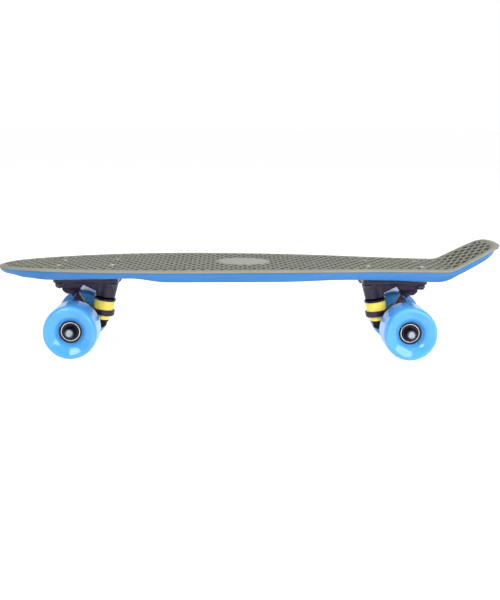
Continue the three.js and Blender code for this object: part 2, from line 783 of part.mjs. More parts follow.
// Hanger: axle barrel, web, nose that turns in the pivot cup and the ring round the kingpin
function hanger() {
  const half = hangerLength / 2;
  const ring = onKingpin(turned([
    [0, -ringBottom], [ringRadius - bushingRound, -ringBottom], [ringRadius, bushingRound - ringBottom],
    [ringRadius, -ringTop], [0, -ringTop],
  ]));
  const web = toSolid(webSide()).intersect(toSolid(webFront()));
  const turnings = [axleBarrel(), pivotNose(), ring];
  const whole = turnings.map(toSolid).reduce((joined, piece) => joined.add(piece), web);
  const seats = [
    bar(upperBushingDiameter / 2 + seatGap, -ringTop - ringSeatDepth, overrun - ringTop),
    bar(lowerBushingTopDiameter / 2 + seatGap, -ringBottom - overrun, ringSeatDepth - ringBottom),
    bar(kingpinDiameter / 2 + ringBoreGap, -ringBottom - overrun, overrun - ringTop),
  ];
  const axleHole = bar(axleDiameter / 2 + shaftGap, -half - overrun, half + overrun);
  const cuts = [...seats.map(onKingpin), axleHole.translate(0, 0, axleHeight)];
  return toGeometry(cuts.map(toSolid).reduce((left, cut) => left.subtract(cut), whole));
}

// Axle with chamfered ends
function axle() {
  const radius = axleDiameter / 2;
  return turned([
    [0, -axleEnd], [radius - axleChamfer, -axleEnd], [radius, axleChamfer - axleEnd],
    [radius, axleEnd - axleChamfer], [radius - axleChamfer, axleEnd], [0, axleEnd],
  ], smallSegments);
}

// Tyre cast round the core
function tyre() {
  const tread = wheelDiameter / 2;
  const hub = hubRadius + seatGap;
  const halfTread = treadWidth / 2;
  const halfWidth = wheelWidth / 2;
  const outward = tyreSideShares.map(([inShare, outShare]) => (
    [tread - (tread - hub) * inShare, halfTread + (halfWidth - halfTread) * outShare]));
  const inward = outward.map(([radius, along]) => [radius, -along]).reverse();
  const end = coreWidth / 2;
  return turnedRing([...inward, ...outward, [hub, end], [hub + coreRidge, 0], [hub, -end]], tyreSegments);
}

// Core with a seat for a bearing on each side and a ridge that locks into the tyre
function wheelCore() {
  const end = coreWidth / 2;
  const seat = bearingDiameter / 2 + shaftGap;
  const step = bearingSpacing / 2 - shaftGap;
  const shoulder = bearingDiameter / 2 - coreShoulder;
  return turnedRing([
    [seat, -end], [hubRadius, -end], [hubRadius + coreRidge, 0], [hubRadius, end], [seat, end],
    [seat, step], [shoulder, step], [shoulder, -step], [seat, -step],
  ]);
}

// Ball bearing as one body, with a sunk shield between its races
function bearing() {
  const outer = bearingDiameter / 2;
  const bore = axleDiameter / 2 + shaftGap;
  const half = bearingWidth / 2;
  const shield = half - bearingShieldSink;
  return turnedRing([
    [bore, -half], [outer, -half], [outer, half], [outer - outerRaceThickness, half],
    [outer - outerRaceThickness, shield], [bore + innerRaceThickness, shield], [bore, half],
  ]);
}

// Colours and finishes
const finishes = {
  deckGrey: { color: '#8d8e84', roughness: 0.6, metalness: 0 },
  deckBlue: { color: '#3f86e0', roughness: 0.4, metalness: 0 },
  castDark: { color: '#332c44', roughness: 0.5, metalness: 0.3 },
  blackPlastic: { color: '#15161b', roughness: 0.5, metalness: 0 },
  blackMetal: { color: '#1c1c22', roughness: 0.4, metalness: 0.8 },
  yellowRubber: { color: '#f7d648', roughness: 0.5, metalness: 0 },
  blueUrethane: { color: '#55b4f8', roughness: 0.25, metalness: 0 },
  brightSteel: { color: '#c9ccd2', roughness: 0.25, metalness: 1 },
};

// Puts one named piece with its own material into a group
function addPiece(group, name, geometry, finish) {
  const mesh = new THREE.Mesh(geometry, new THREE.MeshStandardMaterial(finishes[finish]));
  mesh.name = name;
  group.add(mesh);
  return mesh;
}

// Wheel pieces on one side of a truck: y points out from the middle on that side
function addWheel(group, corner, side) {
  const wheel = new THREE.Group();
  wheel.position.set(0, side * wheelCentreY, axleHeight);
  wheel.rotation.z = side > 0 ? 0 : Math.PI;
  addPiece(wheel, `${corner}_tyre`, tyre(), 'blueUrethane');
  addPiece(wheel, `${corner}_wheel_core`, wheelCore(), 'blackPlastic');
  addPiece(wheel, `${corner}_outer_bearing`, bearing(), 'blackMetal').position.y = outerBearingShift;
  const innerBearing = addPiece(wheel, `${corner}_inner_bearing`, bearing(), 'blackMetal');
  innerBearing.position.y = -outerBearingShift;
  innerBearing.rotation.z = Math.PI;
  const nut = addPiece(wheel, `${corner}_axle_nut`,
    hexNut(axleNutWidth, axleNutHeight, axleDiameter / 2 + shaftGap), 'blackMetal');
  nut.position.y = axleNutShift;
  group.add(wheel);
}

// One truck in its own frame, with its mounting bolts
function addTruck(board, { end, x, inward }) {
  const truck = new THREE.Group();
  truck.position.x = x;
  truck.rotation.z = inward > 0 ? 0 : Math.PI;
  addPiece(truck, `${end}_baseplate`, baseplate(), 'castDark');
  addPiece(truck, `${end}_pivot_cup`, pivotCup(), 'blackPlastic');
  addPiece(truck, `${end}_hanger`, hanger(), 'castDark');
  addPiece(truck, `${end}_axle`, axle(), 'brightSteel').position.z = axleHeight;
  addPiece(truck, `${end}_kingpin`, kingpin(), 'blackMetal');
  addPiece(truck, `${end}_kingpin_nut`, kingpinNut(), 'blackMetal');
  addPiece(truck, `${end}_cup_washer`, cupWasher(), 'blackMetal');
  addPiece(truck, `${end}_lower_washer`, coneWasher(), 'blackMetal');
  const upper = upperBushingDiameter / 2;
  addPiece(truck, `${end}_upper_bushing`, bushing(upperBushingStart, upperBushingLength, upper, upper),
    'yellowRubber');
  addPiece(truck, `${end}_lower_bushing`, bushing(lowerBushingStart, lowerBushingLength,
    lowerBushingTopDiameter / 2, lowerBushingBottomDiameter / 2), 'yellowRubber');
  boltPlaces().forEach((place, index) => {
    const bolt = addPiece(truck, `${end}_bolt_${index + 1}`,
      mountingBolt(surfaceHeight(x + inward * place.x)), 'brightSteel');
    const nut = addPiece(truck, `${end}_lock_nut_${index + 1}`, lockNut(), 'blackMetal');
    bolt.position.set(place.x, place.y, 0);
    nut.position.set(place.x, place.y, 0);
  });
  for (const [hand, y] of [['left', -1], ['right', 1]]) {
    addWheel(truck, `${end}_${hand}`, y * inward);
  }
  board.add(truck);
}

const board = new THREE.Group();
addPiece(board, 'deck_top', deckTop(), 'deckGrey');
addPiece(board, 'deck_body', deckBody(), 'deckBlue');
trucks.forEach((truck) => addTruck(board, truck));
board.position.x = -(noseX + tailX) / 2;

const skateboard = new THREE.Group();
skateboard.add(board);

export default skateboard;
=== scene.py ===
import bpy
import bmesh
import math
from mathutils import Matrix, Vector


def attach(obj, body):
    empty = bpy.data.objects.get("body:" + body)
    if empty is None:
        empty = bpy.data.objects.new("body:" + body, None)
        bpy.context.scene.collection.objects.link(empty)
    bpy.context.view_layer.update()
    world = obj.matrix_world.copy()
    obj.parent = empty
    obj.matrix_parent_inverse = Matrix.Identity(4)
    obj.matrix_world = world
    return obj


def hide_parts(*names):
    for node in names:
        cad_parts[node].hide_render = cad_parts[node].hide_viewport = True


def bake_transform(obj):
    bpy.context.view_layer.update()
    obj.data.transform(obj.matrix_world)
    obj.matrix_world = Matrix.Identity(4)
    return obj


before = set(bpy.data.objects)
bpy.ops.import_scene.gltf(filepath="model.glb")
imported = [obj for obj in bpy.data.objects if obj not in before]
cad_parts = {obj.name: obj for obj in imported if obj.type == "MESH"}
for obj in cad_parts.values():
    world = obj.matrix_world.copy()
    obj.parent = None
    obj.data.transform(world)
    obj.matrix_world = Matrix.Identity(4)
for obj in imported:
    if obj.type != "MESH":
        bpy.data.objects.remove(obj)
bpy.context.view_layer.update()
mm = 0.001

print("stage: small helpers")


# sRGB hex to the linear colour that a socket holds
def hexColour(code):
    parts = [int(code[i:i + 2], 16) / 255 for i in (1, 3, 5)]
    return tuple(p / 12.92 if p <= 0.04045 else ((p + 0.055) / 1.055) ** 2.4 for p in parts) + (1.0,)


# adds a node: its inputs, each a value, the socket that feeds it or a list of sockets, and its own settings
def addNode(tree, kind, inputs=None, settings=None):
    node = tree.nodes.new(kind)
    for name, value in (settings or {}).items():
        setattr(node, name, value)
    for key, value in (inputs or {}).items():
        if isinstance(value, (list, bpy.types.NodeSocket)):
            for socket in value if isinstance(value, list) else [value]:
                tree.links.new(socket, node.inputs[key])
        else:
            node.inputs[key].default_value = value
    return node


def smoothStep(value, low, high):
    share = min(1.0, max(0.0, (value - low) / (high - low)))
    return share * share * (3 - 2 * share)


# a curve through points, with as many steps between each pair (centripetal, so it never loops)
def curveThrough(points, steps):
    pts = [Vector(p) for p in points]
    pts = [pts[0] * 2 - pts[1]] + pts + [pts[-1] * 2 - pts[-2]]
    out = []
    for p0, p1, p2, p3 in zip(pts, pts[1:], pts[2:], pts[3:]):
        d0, d1, d2 = [max((b - a).length ** 0.5, 1e-6) for a, b in ((p0, p1), (p1, p2), (p2, p3))]
        m1 = ((p1 - p0) / d0 - (p2 - p0) / (d0 + d1) + (p2 - p1) / d1) * d1
        m2 = ((p2 - p1) / d1 - (p3 - p1) / (d1 + d2) + (p3 - p2) / d2) * d1
        for step in range(steps):
            t = step / steps
            out.append(p1 * (2 * t ** 3 - 3 * t ** 2 + 1) + m1 * (t ** 3 - 2 * t ** 2 + t)
                       + p2 * (3 * t ** 2 - 2 * t ** 3) + m2 * (t ** 3 - t ** 2))
    return out + [pts[-2]]


# corners (a, b, radius) as an outline whose corners are rounded
def rounded(corners, steps=4, closed=True):
    nearlyStraight, nearlyNone = 0.02, 1e-4
    out, count = [], len(corners)
    for i, (a, b, radius) in enumerate(corners):
        here = Vector((a, b))
        if radius <= 0 or (not closed and i in (0, count - 1)):
            out.append(here)
            continue
        back = Vector(corners[i - 1][:2]) - here
        ahead = Vector(corners[(i + 1) % count][:2]) - here
        half = back.angle(ahead) / 2
        if half > math.pi / 2 - nearlyStraight:
            out.append(here)
            continue
        reach = min(radius / math.tan(half), back.length * 0.49, ahead.length * 0.49)
        start, end = here + back.normalized() * reach, here + ahead.normalized() * reach
        centre = here + (back.normalized() + ahead.normalized()).normalized() * reach / math.cos(half)
        middle = (here - centre).normalized() * reach * math.tan(half)
        sweep = (start - centre).angle(end - centre)
        for step in range(steps + 1):
            t = step / steps
            mix = ((start - centre) * math.sin((1 - t) * sweep) + (end - centre) * math.sin(t * sweep))
            out.append(centre + (mix / math.sin(sweep) if sweep > nearlyNone else middle))
    return out


# an outline in x and y with round corners, even about the board's middle line
def roundedPlate(x0, x1, half, radius, steps):
    return rounded([(x0, -half, radius), (x1, -half, radius), (x1, half, radius), (x0, half, radius)], steps)


# puts a mesh, light or camera in the scene
def addObject(name, data):
    obj = bpy.data.objects.new(name, data)
    bpy.context.scene.collection.objects.link(obj)
    return obj


def dropObject(obj):
    mesh = obj.data
    bpy.data.objects.remove(obj)
    bpy.data.meshes.remove(mesh)


# merges doubles, turns faces outwards, smooths all but the creases and gives the material
def dressMesh(name, mesh, material, crease=35):
    shape = bmesh.new()
    shape.from_mesh(mesh)
    bmesh.ops.remove_doubles(shape, verts=shape.verts, dist=2e-6)
    bmesh.ops.recalc_face_normals(shape, faces=shape.faces)
    shape.to_mesh(mesh)
    shape.free()
    mesh.shade_smooth()
    mesh.set_sharp_from_angle(angle=math.radians(crease))
    mesh.materials.clear()
    mesh.materials.append(material)
    return addObject(name, mesh)


# a mesh object from points in millimetres
def makeObject(name, points, faces, material, crease=35):
    mesh = bpy.data.meshes.new(name)
    mesh.from_pydata([Vector(p) * mm for p in points], [], faces)
    return dressMesh(name, mesh, material, crease)


# an object built again from its own mesh, cleaned and dressed
def dressAgain(obj, material, crease=35):
    name, mesh = obj.name, obj.data.copy()
    dropObject(obj)
    mesh.name = name
    return dressMesh(name, mesh, material, crease)


# a skin between loops of equal count, each a list of points
def bandFaces(loops, closed):
    count, rows, faces = len(loops[0]), len(loops), []
    for row in range(rows if closed else rows - 1):
        here, beyond = row * count, (row + 1) % rows * count
        faces += [(here + i, here + (i + 1) % count, beyond + (i + 1) % count, beyond + i) for i in range(count)]
    return [p for loop in loops for p in loop], faces


# points and faces of a form turned about the +Z of a place, from (radius, height) pairs
def turned(profile, segments, place=Matrix(), ring=False):
    angles = [2 * math.pi * turn / segments for turn in range(segments)]
    return bandFaces([[place @ Vector((radius * math.cos(a), radius * math.sin(a), height)) for a in angles]
                      for radius, height in profile], ring)


# the same from the rounded corners (radius, height, rounding) of a ring's section
def turnedRing(corners, steps, segments, place=Matrix()):
    return turned(rounded(corners, steps), segments, place, True)


def turnedBar(radius, low, high, place, segments=40):
    return turned([(0, low), (radius, low), (radius, high), (0, high)], segments, place)


# several (points, faces) shapes as one
def joined(shapes):
    points, faces = [], []
    for somePoints, someFaces in shapes:
        first = len(points)
        points += somePoints
        faces += [tuple(first + i for i in face) for face in someFaces]
    return points, faces


# an outline drawn in x and y, raised between two heights
def raised(outline, bottom, top, place=Matrix()):
    count = len(outline)
    points = [place @ Vector((p[0], p[1], z)) for z in (bottom, top) for p in outline]
    faces = [tuple(range(count - 1, -1, -1)), tuple(range(count, 2 * count))]
    faces += [(i, (i + 1) % count, count + (i + 1) % count, count + i) for i in range(count)]
    return points, faces


# a place whose +Z points across the board, to the left
def acrossAt(x=0, z=0):
    return Matrix.Translation((x, 0, z)) @ Matrix.Rotation(math.pi / 2, 4, "X")


# the result of an object's modifiers as its plain mesh
def bakeModifiers(obj):
    bpy.context.view_layer.update()
    evaluated = obj.evaluated_get(bpy.context.evaluated_depsgraph_get())
    mesh = bpy.data.meshes.new_from_object(evaluated)
    obj.modifiers.clear()
    old, obj.data = obj.data, mesh
    mesh.name = old.name
    bpy.data.meshes.remove(old)


# cuts an object with a tool, which is used up
def cutWith(obj, tool, operation="DIFFERENCE"):
    cut = obj.modifiers.new(tool.name, "BOOLEAN")
    cut.operation, cut.object, cut.solver = operation, tool, "EXACT"
    bakeModifiers(obj)
    dropObject(tool)


# points in millimetres and faces of an object, which is used up
def takeShape(obj):
    points = [v.co / mm for v in obj.data.vertices]
    faces = [tuple(p.vertices) for p in obj.data.polygons]
    dropObject(obj)
    return points, faces


print("stage: materials")


# a principled shader on its output, with the object's own coordinates in metres
def newMaterial(name, values):
    material = bpy.data.materials.new(name)
    material.use_nodes = True
    tree = material.node_tree
    tree.nodes.clear()
    shader = addNode(tree, "ShaderNodeBsdfPrincipled", values)
    addNode(tree, "ShaderNodeOutputMaterial", {"Surface": shader.outputs["BSDF"]})
    return material, tree, shader, addNode(tree, "ShaderNodeTexCoord").outputs["Object"]


# noise of a real size in millimetres, spread between two colours or two numbers
def spreadNoise(tree, place, size, low, high, detail=4.0, edges=(0.35, 0.65), warp=0.0, stretch=None):
    if stretch:
        place = addNode(tree, "ShaderNodeMapping", {"Scale": stretch, "Vector": place}).outputs[0]
    noise = addNode(tree, "ShaderNodeTexNoise", {"Scale": 1 / (size * mm), "Detail": detail, "Distortion": warp,
                                                 "Vector": place}).outputs["Fac"]
    if isinstance(low, str):
        ramp = addNode(tree, "ShaderNodeValToRGB", {"Fac": noise})
        for stop, edge, code in zip(ramp.color_ramp.elements, edges, (low, high)):
            stop.position, stop.color = edge, hexColour(code)
        return ramp.outputs["Color"]
    return addNode(tree, "ShaderNodeMapRange", {"Value": noise, "From Min": edges[0], "From Max": edges[1],
                                                "To Min": low, "To Max": high}).outputs["Result"]


# A whole finish. base and rough are noises as spreadNoise takes them. over holds colours laid on the base, as
# (colour, factor or noise, attribute that masks it). bumps are (depth in millimetres, strength, size, detail,
# stretch), each on top of the one before. roughBy adds roughness by an attribute, as (attribute, least, most).
def makeFinish(name, values, base, rough, bumps, over=(), roughBy=None):
    material, tree, shader, place = newMaterial(name, values)
    masks = {label: addNode(tree, "ShaderNodeAttribute", settings={"attribute_name": label}).outputs["Fac"]
             for label in {layer[2] for layer in over if layer[2]}}
    colour = spreadNoise(tree, place, *base)
    for code, share, label in over:
        share = spreadNoise(tree, place, *share) if isinstance(share, tuple) else share
        if label:
            share = addNode(tree, "ShaderNodeMath", {0: masks[label], 1: share},
                            {"operation": "MULTIPLY", "use_clamp": True}).outputs[0]
        colour = addNode(tree, "ShaderNodeMix", {0: share, 6: colour, 7: hexColour(code)},
                         {"data_type": "RGBA"}).outputs[2]
    tree.links.new(colour, shader.inputs["Base Color"])
    roughness = spreadNoise(tree, place, *rough)
    if roughBy:
        worn = addNode(tree, "ShaderNodeMapRange", {"Value": masks[roughBy[0]], "To Min": roughBy[1],
                                                    "To Max": roughBy[2]}).outputs[0]
        roughness = addNode(tree, "ShaderNodeMath", {0: worn, 1: roughness}, {"operation": "ADD"}).outputs[0]
    tree.links.new(roughness, shader.inputs["Roughness"])
    below = {}
    for depth, strength, size, detail, stretch in bumps:
        height = spreadNoise(tree, place, size, 0.0, 1.0, detail, (0.2, 0.8), stretch=stretch)
        bump = addNode(tree, "ShaderNodeBump", {"Strength": strength, "Distance": depth * mm, "Height": height,
                                                **below})
        below = {"Normal": bump.outputs["Normal"]}
    tree.links.new(below["Normal"], shader.inputs["Normal"])
    return material


# moulded polypropylene from a spark-eroded tool: matt and slightly chalky; the pits are darkened by their depth,
# which is painted shade, and this leaves the ridges lighter; the real spark texture is about 0.1 mm, drawn at 0.5
# mm so that it shows
def deckTopPlastic(name, low, high, mottle, rough):
    # the last layer is painted shade: a near-black laid into the pits by how deep each point lies
    return makeFinish(name, {"IOR": 1.49, "Specular IOR Level": 0.75}, (70, low, high, 5, (0.3, 0.7)),
                      (9, *rough), [(0.03, 0.5, 0.5, 2, None)],
                      [(mottle, (2.2, 0.0, 0.35, 3, (0.4, 0.75)), None), ("#1b1c16", 1.05, "pitDepth")])


# nylon, acetal or rubber, moulded: smooth with a dull sheen
def mouldedBlack(name, low, high, rough):
    return makeFinish(name, {"IOR": 1.53, "Specular IOR Level": 0.3}, (5, low, high), (2, *rough),
                      [(0.02, 0.4, 0.5, 3, None)])


# steel, turned or ground and then plated or blacked: metal with fine turning marks
def platedSteel(name, low, high, rough):
    return makeFinish(name, {"Metallic": 1.0}, (4, low, high, 5), (1.5, *rough, 5),
                      [(0.02, 0.25, 3, 4, (1, 9, 1))])


finish = {
    "deckTop": deckTopPlastic("polypropylene_moulded_grey", "#737468", "#7b7d70", "#85887c", (0.5, 0.66)),
    # the plate: the same grey plastic with a lighter base colour, which is a painted sheen
    "plate": deckTopPlastic("polypropylene_polished_grey", "#858781", "#8d8f89", "#959791", (0.5, 0.62)),
    # the same plastic polished on the tool: satin blue with faint flow marks along the board and a few scuffs
    "deckBody": makeFinish(
        "polypropylene_moulded_blue", {"IOR": 1.49, "Specular IOR Level": 0.45, "Subsurface Weight": 0.06,
                                       "Subsurface Radius": (0.2, 0.4, 1.0), "Subsurface Scale": 0.003},
        (24, "#2366a4", "#2e70ae", 4, (0.3, 0.7), 0.4, (0.25, 1, 1.6)), (7, 0.3, 0.42, 5),
        [(0.02, 0.4, 0.6, 3, None)], [("#6ba3d8", (1.1, 0.0, 0.25, 6, (0.66, 0.8), 0.0, (0.25, 1, 1.6)), None)]),
    # cast polyurethane, poured and lathe-faced: very glossy, light goes a little way in, the tread is dulled
    "wheel": makeFinish(
        "polyurethane_cast_blue", {"IOR": 1.5, "Specular IOR Level": 0.5, "Subsurface Weight": 0.18,
                                   "Subsurface Radius": (0.25, 0.7, 1.0), "Subsurface Scale": 0.004},
        (26, "#4596de", "#50a2e7", 3, (0.3, 0.7)), (6, 0.0, 0.04, 4), [(0.02, 0.35, 5, 2, None)],
        [("#9fd2fb", (4, 0.0, 0.3, 6, (0.45, 0.75)), "treadWear")], ("treadWear", 0.045, 0.15)),
    # die-cast aluminium under dark violet paint: satin, with the casting's fine grain, swells and dull spots
    "cast": makeFinish(
        "aluminium_cast_painted_violet", {"IOR": 1.5, "Metallic": 0.0, "Specular IOR Level": 0.4},
        (12, "#1b1024", "#2d1a3a", 5, (0.3, 0.7)), (3, 0.28, 0.44, 5),
        [(0.06, 0.5, 0.8, 5, None), (0.25, 0.5, 7, 2, None)],
        [("#54466a", (0.9, 0.0, 0.3, 5, (0.62, 0.8)), None)]),
    "core": mouldedBlack("nylon_moulded_black", "#121317", "#1b1c21", (0.36, 0.5)),
    "seal": mouldedBlack("rubber_seal_black", "#14151a", "#202128", (0.42, 0.6)),
    "insert": mouldedBlack("nylon_insert_grey", "#3a3d45", "#4a4d55", (0.35, 0.5)),
    "race": platedSteel("bearing_steel_ground", "#c4c7cd", "#dfe1e6", (0.12, 0.24)),
    "blackSteel": platedSteel("steel_black_oxide", "#17171c", "#26262d", (0.28, 0.45)),
    "cup": platedSteel("steel_black_nickel", "#22232a", "#34353d", (0.14, 0.26)),
    "zinc": platedSteel("steel_zinc_plated", "#8d9092", "#a8aaac", (0.36, 0.5)),
    "nutGrey": platedSteel("steel_zinc_dull", "#3c3d47", "#52535e", (0.4, 0.55)),
    "axle": platedSteel("steel_turned_bright", "#9a9da3", "#b4b7bd", (0.34, 0.48)),
    # cast polyurethane bushing: semi-gloss yellow, slightly waxy, with faint mould dust
    "yellow": makeFinish(
        "polyurethane_cast_yellow", {"IOR": 1.5, "Specular IOR Level": 0.45, "Subsurface Weight": 0.15,
                                     "Subsurface Radius": (1.0, 0.7, 0.2), "Subsurface Scale": 0.002},
        (5, "#ffe14f", "#ffec68"), (3, 0.3, 0.44), [(0.04, 0.4, 0.9, 3, None)],
        [("#eac23a", (1.2, 0.0, 0.3, 5, (0.6, 0.8)), None)]),
}

print("stage: camera, lights and floor")

# metres and radians, and the lens in millimetres
cameraView = {"place": (-0.02549, -1.09331, 0.26120), "pitch": 0.1864, "yaw": 0.0253, "roll": 0.0102,
              "lens": 57.07, "sensor": 36, "near": 0.02, "far": 30}


def placeCamera():
    pitch, yaw, roll = cameraView["pitch"], cameraView["yaw"], cameraView["roll"]
    ahead = Vector((math.sin(yaw) * math.cos(pitch), math.cos(yaw) * math.cos(pitch), -math.sin(pitch)))
    level = Vector((math.cos(yaw), -math.sin(yaw), 0))
    up = level.cross(ahead)
    right = level * math.cos(roll) + up * math.sin(roll)
    top = up * math.cos(roll) - level * math.sin(roll)
    data = bpy.data.cameras.new("photo_camera")
    data.lens, data.sensor_width = cameraView["lens"], cameraView["sensor"]
    data.clip_start, data.clip_end = cameraView["near"], cameraView["far"]
    camera = addObject("photo_camera", data)
    turn = Matrix((right, top, -ahead)).transposed().to_4x4()
    camera.matrix_world = Matrix.Translation(cameraView["place"]) @ turn
    bpy.context.scene.camera = camera


# each light's place, what it points at, size and power, in metres and watts
lightPlan = {
    "soft_top": {"place": (0.0, -0.1, 1.5), "target": (0, 0, 0.05), "size": (2.2, 1.6), "power": 25},
    "box_left": {"place": (-0.65, -0.95, 0.82), "target": (-0.15, 0, 0.05), "size": (0.56, 0.5), "power": 7},
    "box_right": {"place": (0.7, -0.72, 0.56), "target": (0.1, 0, 0.05), "size": (0.8, 0.56), "power": 8.5},
}
# strengths of the sky at the horizon and overhead, and the sines of the heights between which it dims
studioSky = {"horizon": 1.0, "overhead": 0.22, "whiteTo": 0.16, "dimFrom": 0.4, "colour": "#ffffff"}


def placeLights():
    for name, plan in lightPlan.items():
        data = bpy.data.lights.new(name, "AREA")
        data.shape, data.size, data.size_y, data.energy = "RECTANGLE", *plan["size"], plan["power"]
        light = addObject(name, data)
        aim = Vector(plan["target"]) - Vector(plan["place"])
        light.matrix_world = Matrix.Translation(plan["place"]) @ aim.to_track_quat("-Z", "Y").to_matrix().to_4x4()
    world = bpy.data.worlds.new("white_studio")
    world.use_nodes = True
    tree = world.node_tree
    sky = tree.nodes["Background"].inputs
    sky["Color"].default_value = hexColour(studioSky["colour"])
    direction = addNode(tree, "ShaderNodeTexCoord").outputs["Generated"]
    height = addNode(tree, "ShaderNodeSeparateXYZ", {0: direction}).outputs[2]
    fade = addNode(tree, "ShaderNodeMapRange", {
        "Value": height, "From Min": studioSky["whiteTo"], "From Max": studioSky["dimFrom"],
        "To Min": studioSky["horizon"], "To Max": studioSky["overhead"]})
    tree.links.new(fade.outputs[0], sky["Strength"])
    bpy.context.scene.world = world
    bpy.context.scene.view_settings.view_transform = "Standard"


# a pale floor that runs out to the horizon and glows a little, in metres
floorPlan = {"half": 60.0, "colour": "#b4b4b4", "rough": 0.85, "specular": 0.1, "glow": 0.84,
             "glowColour": "#ffffff"}


def makeFloor():
    half = floorPlan["half"] / mm
    corners = [(-half, -half, 0), (half, -half, 0), (half, half, 0), (-half, half, 0)]
    material = newMaterial("studio_floor_matt_paint", {
        "Base Color": hexColour(floorPlan["colour"]), "Roughness": floorPlan["rough"],
        "Specular IOR Level": floorPlan["specular"], "Emission Color": hexColour(floorPlan["glowColour"]),
        "Emission Strength": floorPlan["glow"]})[0]
    makeObject("studio_floor", corners, [(0, 1, 2, 3)], material)


placeCamera()
placeLights()
makeFloor()

print("stage: deck form")

# millimetres, x from the middle of the board; the outline is in shares of length and half width, and the skirt's
# depth follows in shares along the board
deck = {
    "nose": -287.05, "tail": 287.05, "width": 152.0, "crest": 99.7, "crestX": 11.0, "noseDrop": 4.4,
    "kickX": 226.85, "kickAngle": math.radians(28.6), "kickBlend": 4.0, "tipEase": 18.0, "tipDrop": 3.4,
    "top": 1.8, "topTip": 3.0, "skin": 3.0, "skirt": 12.3, "skirtWidth": 6.0, "draft": 2.2,
    "bodyInset": 0.6, "bodyTail": 5.5, "steps": 170, "fineSteps": 40,
    "outline": [(0, 0), (0.0051, 0.185), (0.0242, 0.38), (0.0667, 0.572), (0.1293, 0.753), (0.2121, 0.895),
                (0.296, 0.978), (0.3798, 1), (0.5051, 0.95), (0.5889, 0.895), (0.6727, 0.813), (0.7556, 0.715),
                (0.8394, 0.662), (0.902, 0.636), (0.9435, 0.608), (0.9727, 0.553), (0.9875, 0.476),
                (0.9955, 0.355), (0.999, 0.184), (1, 0)],
    "skirtShares": [(0, 0.48), (0.0303, 0.58), (0.0667, 0.8), (0.1081, 0.91), (0.1515, 0.84), (0.2121, 0.74),
                    (0.2747, 0.64), (0.3434, 0.96), (0.5556, 1), (0.6869, 0.86), (0.7576, 0.93), (0.8687, 1.06),
                    (0.9091, 0.74), (0.9596, 0.735), (0.985, 0.67), (1, 0.5)],
}
deck["length"] = deck["tail"] - deck["nose"]
# where the two axles stand along the board
axleX = {"front": -197.45, "rear": 179.45}


# height of the deck's top at an x
def surfaceHeight(x):
    fromCrest = (x - deck["crestX"]) / (deck["crestX"] - deck["nose"])
    past = x - deck["kickX"]
    run = (past + math.hypot(past, deck["kickBlend"])) / 2
    tip = max(0.0, (x - deck["tail"] + deck["tipEase"]) / deck["tipEase"])
    return (deck["crest"] - deck["noseDrop"] * fromCrest ** 2 + math.tan(deck["kickAngle"]) * run
            - deck["tipDrop"] * tip ** 2)


# thickness of the grey layer, which grows to a lip at the tail tip
def topLayer(x):
    lip = smoothStep(x, deck["tail"] - deck["tipEase"], deck["tail"])
    return deck["top"] + (deck["topTip"] - deck["top"]) * lip


# depth of the blue body under the grey layer
def bodyDepth(x):
    share = (x - deck["nose"]) / deck["length"]
    table = deck["skirtShares"]
    for (x0, y0), (x1, y1) in zip(table, table[1:]):
        if share <= x1:
            return deck["skirt"] * (y0 + (y1 - y0) * smoothStep(share, x0, x1)) - deck["top"]
    return deck["skirt"] * table[-1][1] - deck["top"]


# the outline from nose to tail on the +Y side, evenly stepped, as (x, y, inward x, inward y)
def makeHalfOutline():
    # mirrored neighbours at both ends keep the tips round
    line, fineSteps = deck["outline"], deck["fineSteps"]
    line = [(line[1][0], -line[1][1])] + line + [(line[-2][0], -line[-2][1])]
    fine = [(deck["nose"] + p[0] * deck["length"], p[1] * deck["width"] / 2)
            for p in curveThrough(line, fineSteps)[fineSteps:-fineSteps]]
    far = [0.0]
    for a, b in zip(fine, fine[1:]):
        far.append(far[-1] + math.dist(a, b))
    even, k = [], 0
    for step in range(deck["steps"] + 1):
        want = far[-1] * step / deck["steps"]
        while k < len(far) - 2 and far[k + 1] < want:
            k += 1
        t = (want - far[k]) / (far[k + 1] - far[k])
        even.append(tuple(a + (b - a) * t for a, b in zip(fine[k], fine[k + 1])))
    out = []
    for i, (x, y) in enumerate(even):
        a = even[i - 1] if i else (even[1][0], -even[1][1])
        b = even[i + 1] if i < deck["steps"] else (even[-2][0], -even[-2][1])
        along = Vector((b[0] - a[0], b[1] - a[1])).normalized()
        out.append((x, y, along.y, -along.x))
    return out


halfOutline = makeHalfOutline()


# the whole outline as a loop of points, moved inwards by an inset
def outlineLoop(inset):
    upper = [(x + nx * inset, y + ny * inset) for x, y, nx, ny in halfOutline]
    upper[0], upper[-1] = (upper[0][0], 0.0), (upper[-1][0], 0.0)
    return upper + [(x, -y) for x, y in reversed(upper[1:-1])]


# strips across a loop, from each point to its mirror
def crossFaces(first, count):
    half = count // 2
    faces = [(first, first + 1, first + count - 1), (first + half, first + half + 1, first + half - 1)]
    faces += [(first + i, first + i + 1, first + count - i - 1, first + count - i) for i in range(1, half - 1)]
    return faces


# puts a piece on its body and hides the solids that it stands for
def rideOn(obj, body, slotName, *stands):
    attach(obj, body)
    if stands:
        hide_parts(*stands)


print("stage: deck rim")

# the rim slopes up from the deck's edge to the grip field: (inset, share of the rise, millimetres down)
rim = {"lip": 7.6, "groove": 1.3, "grooveWidth": 2.6, "foot": 0.04, "rise": 1.5, "wallInset": 0.55,
       "wallTop": 0.28, "wallShare": 0.86, "grooveSide": 0.05,
       "edge": [(0.0, 0.0, 0.9), (0.1, 0.0, 0.45), (0.4, 0.0, 0.12), (0.9, 0.06, 0.0), (2.0, 0.3, 0.0),
                (3.4, 0.58, 0.0), (5.0, 0.8, 0.0), (6.4, 0.9, 0.0), (7.1, 0.9, 0.05), (7.5, 0.9, 0.35)]}


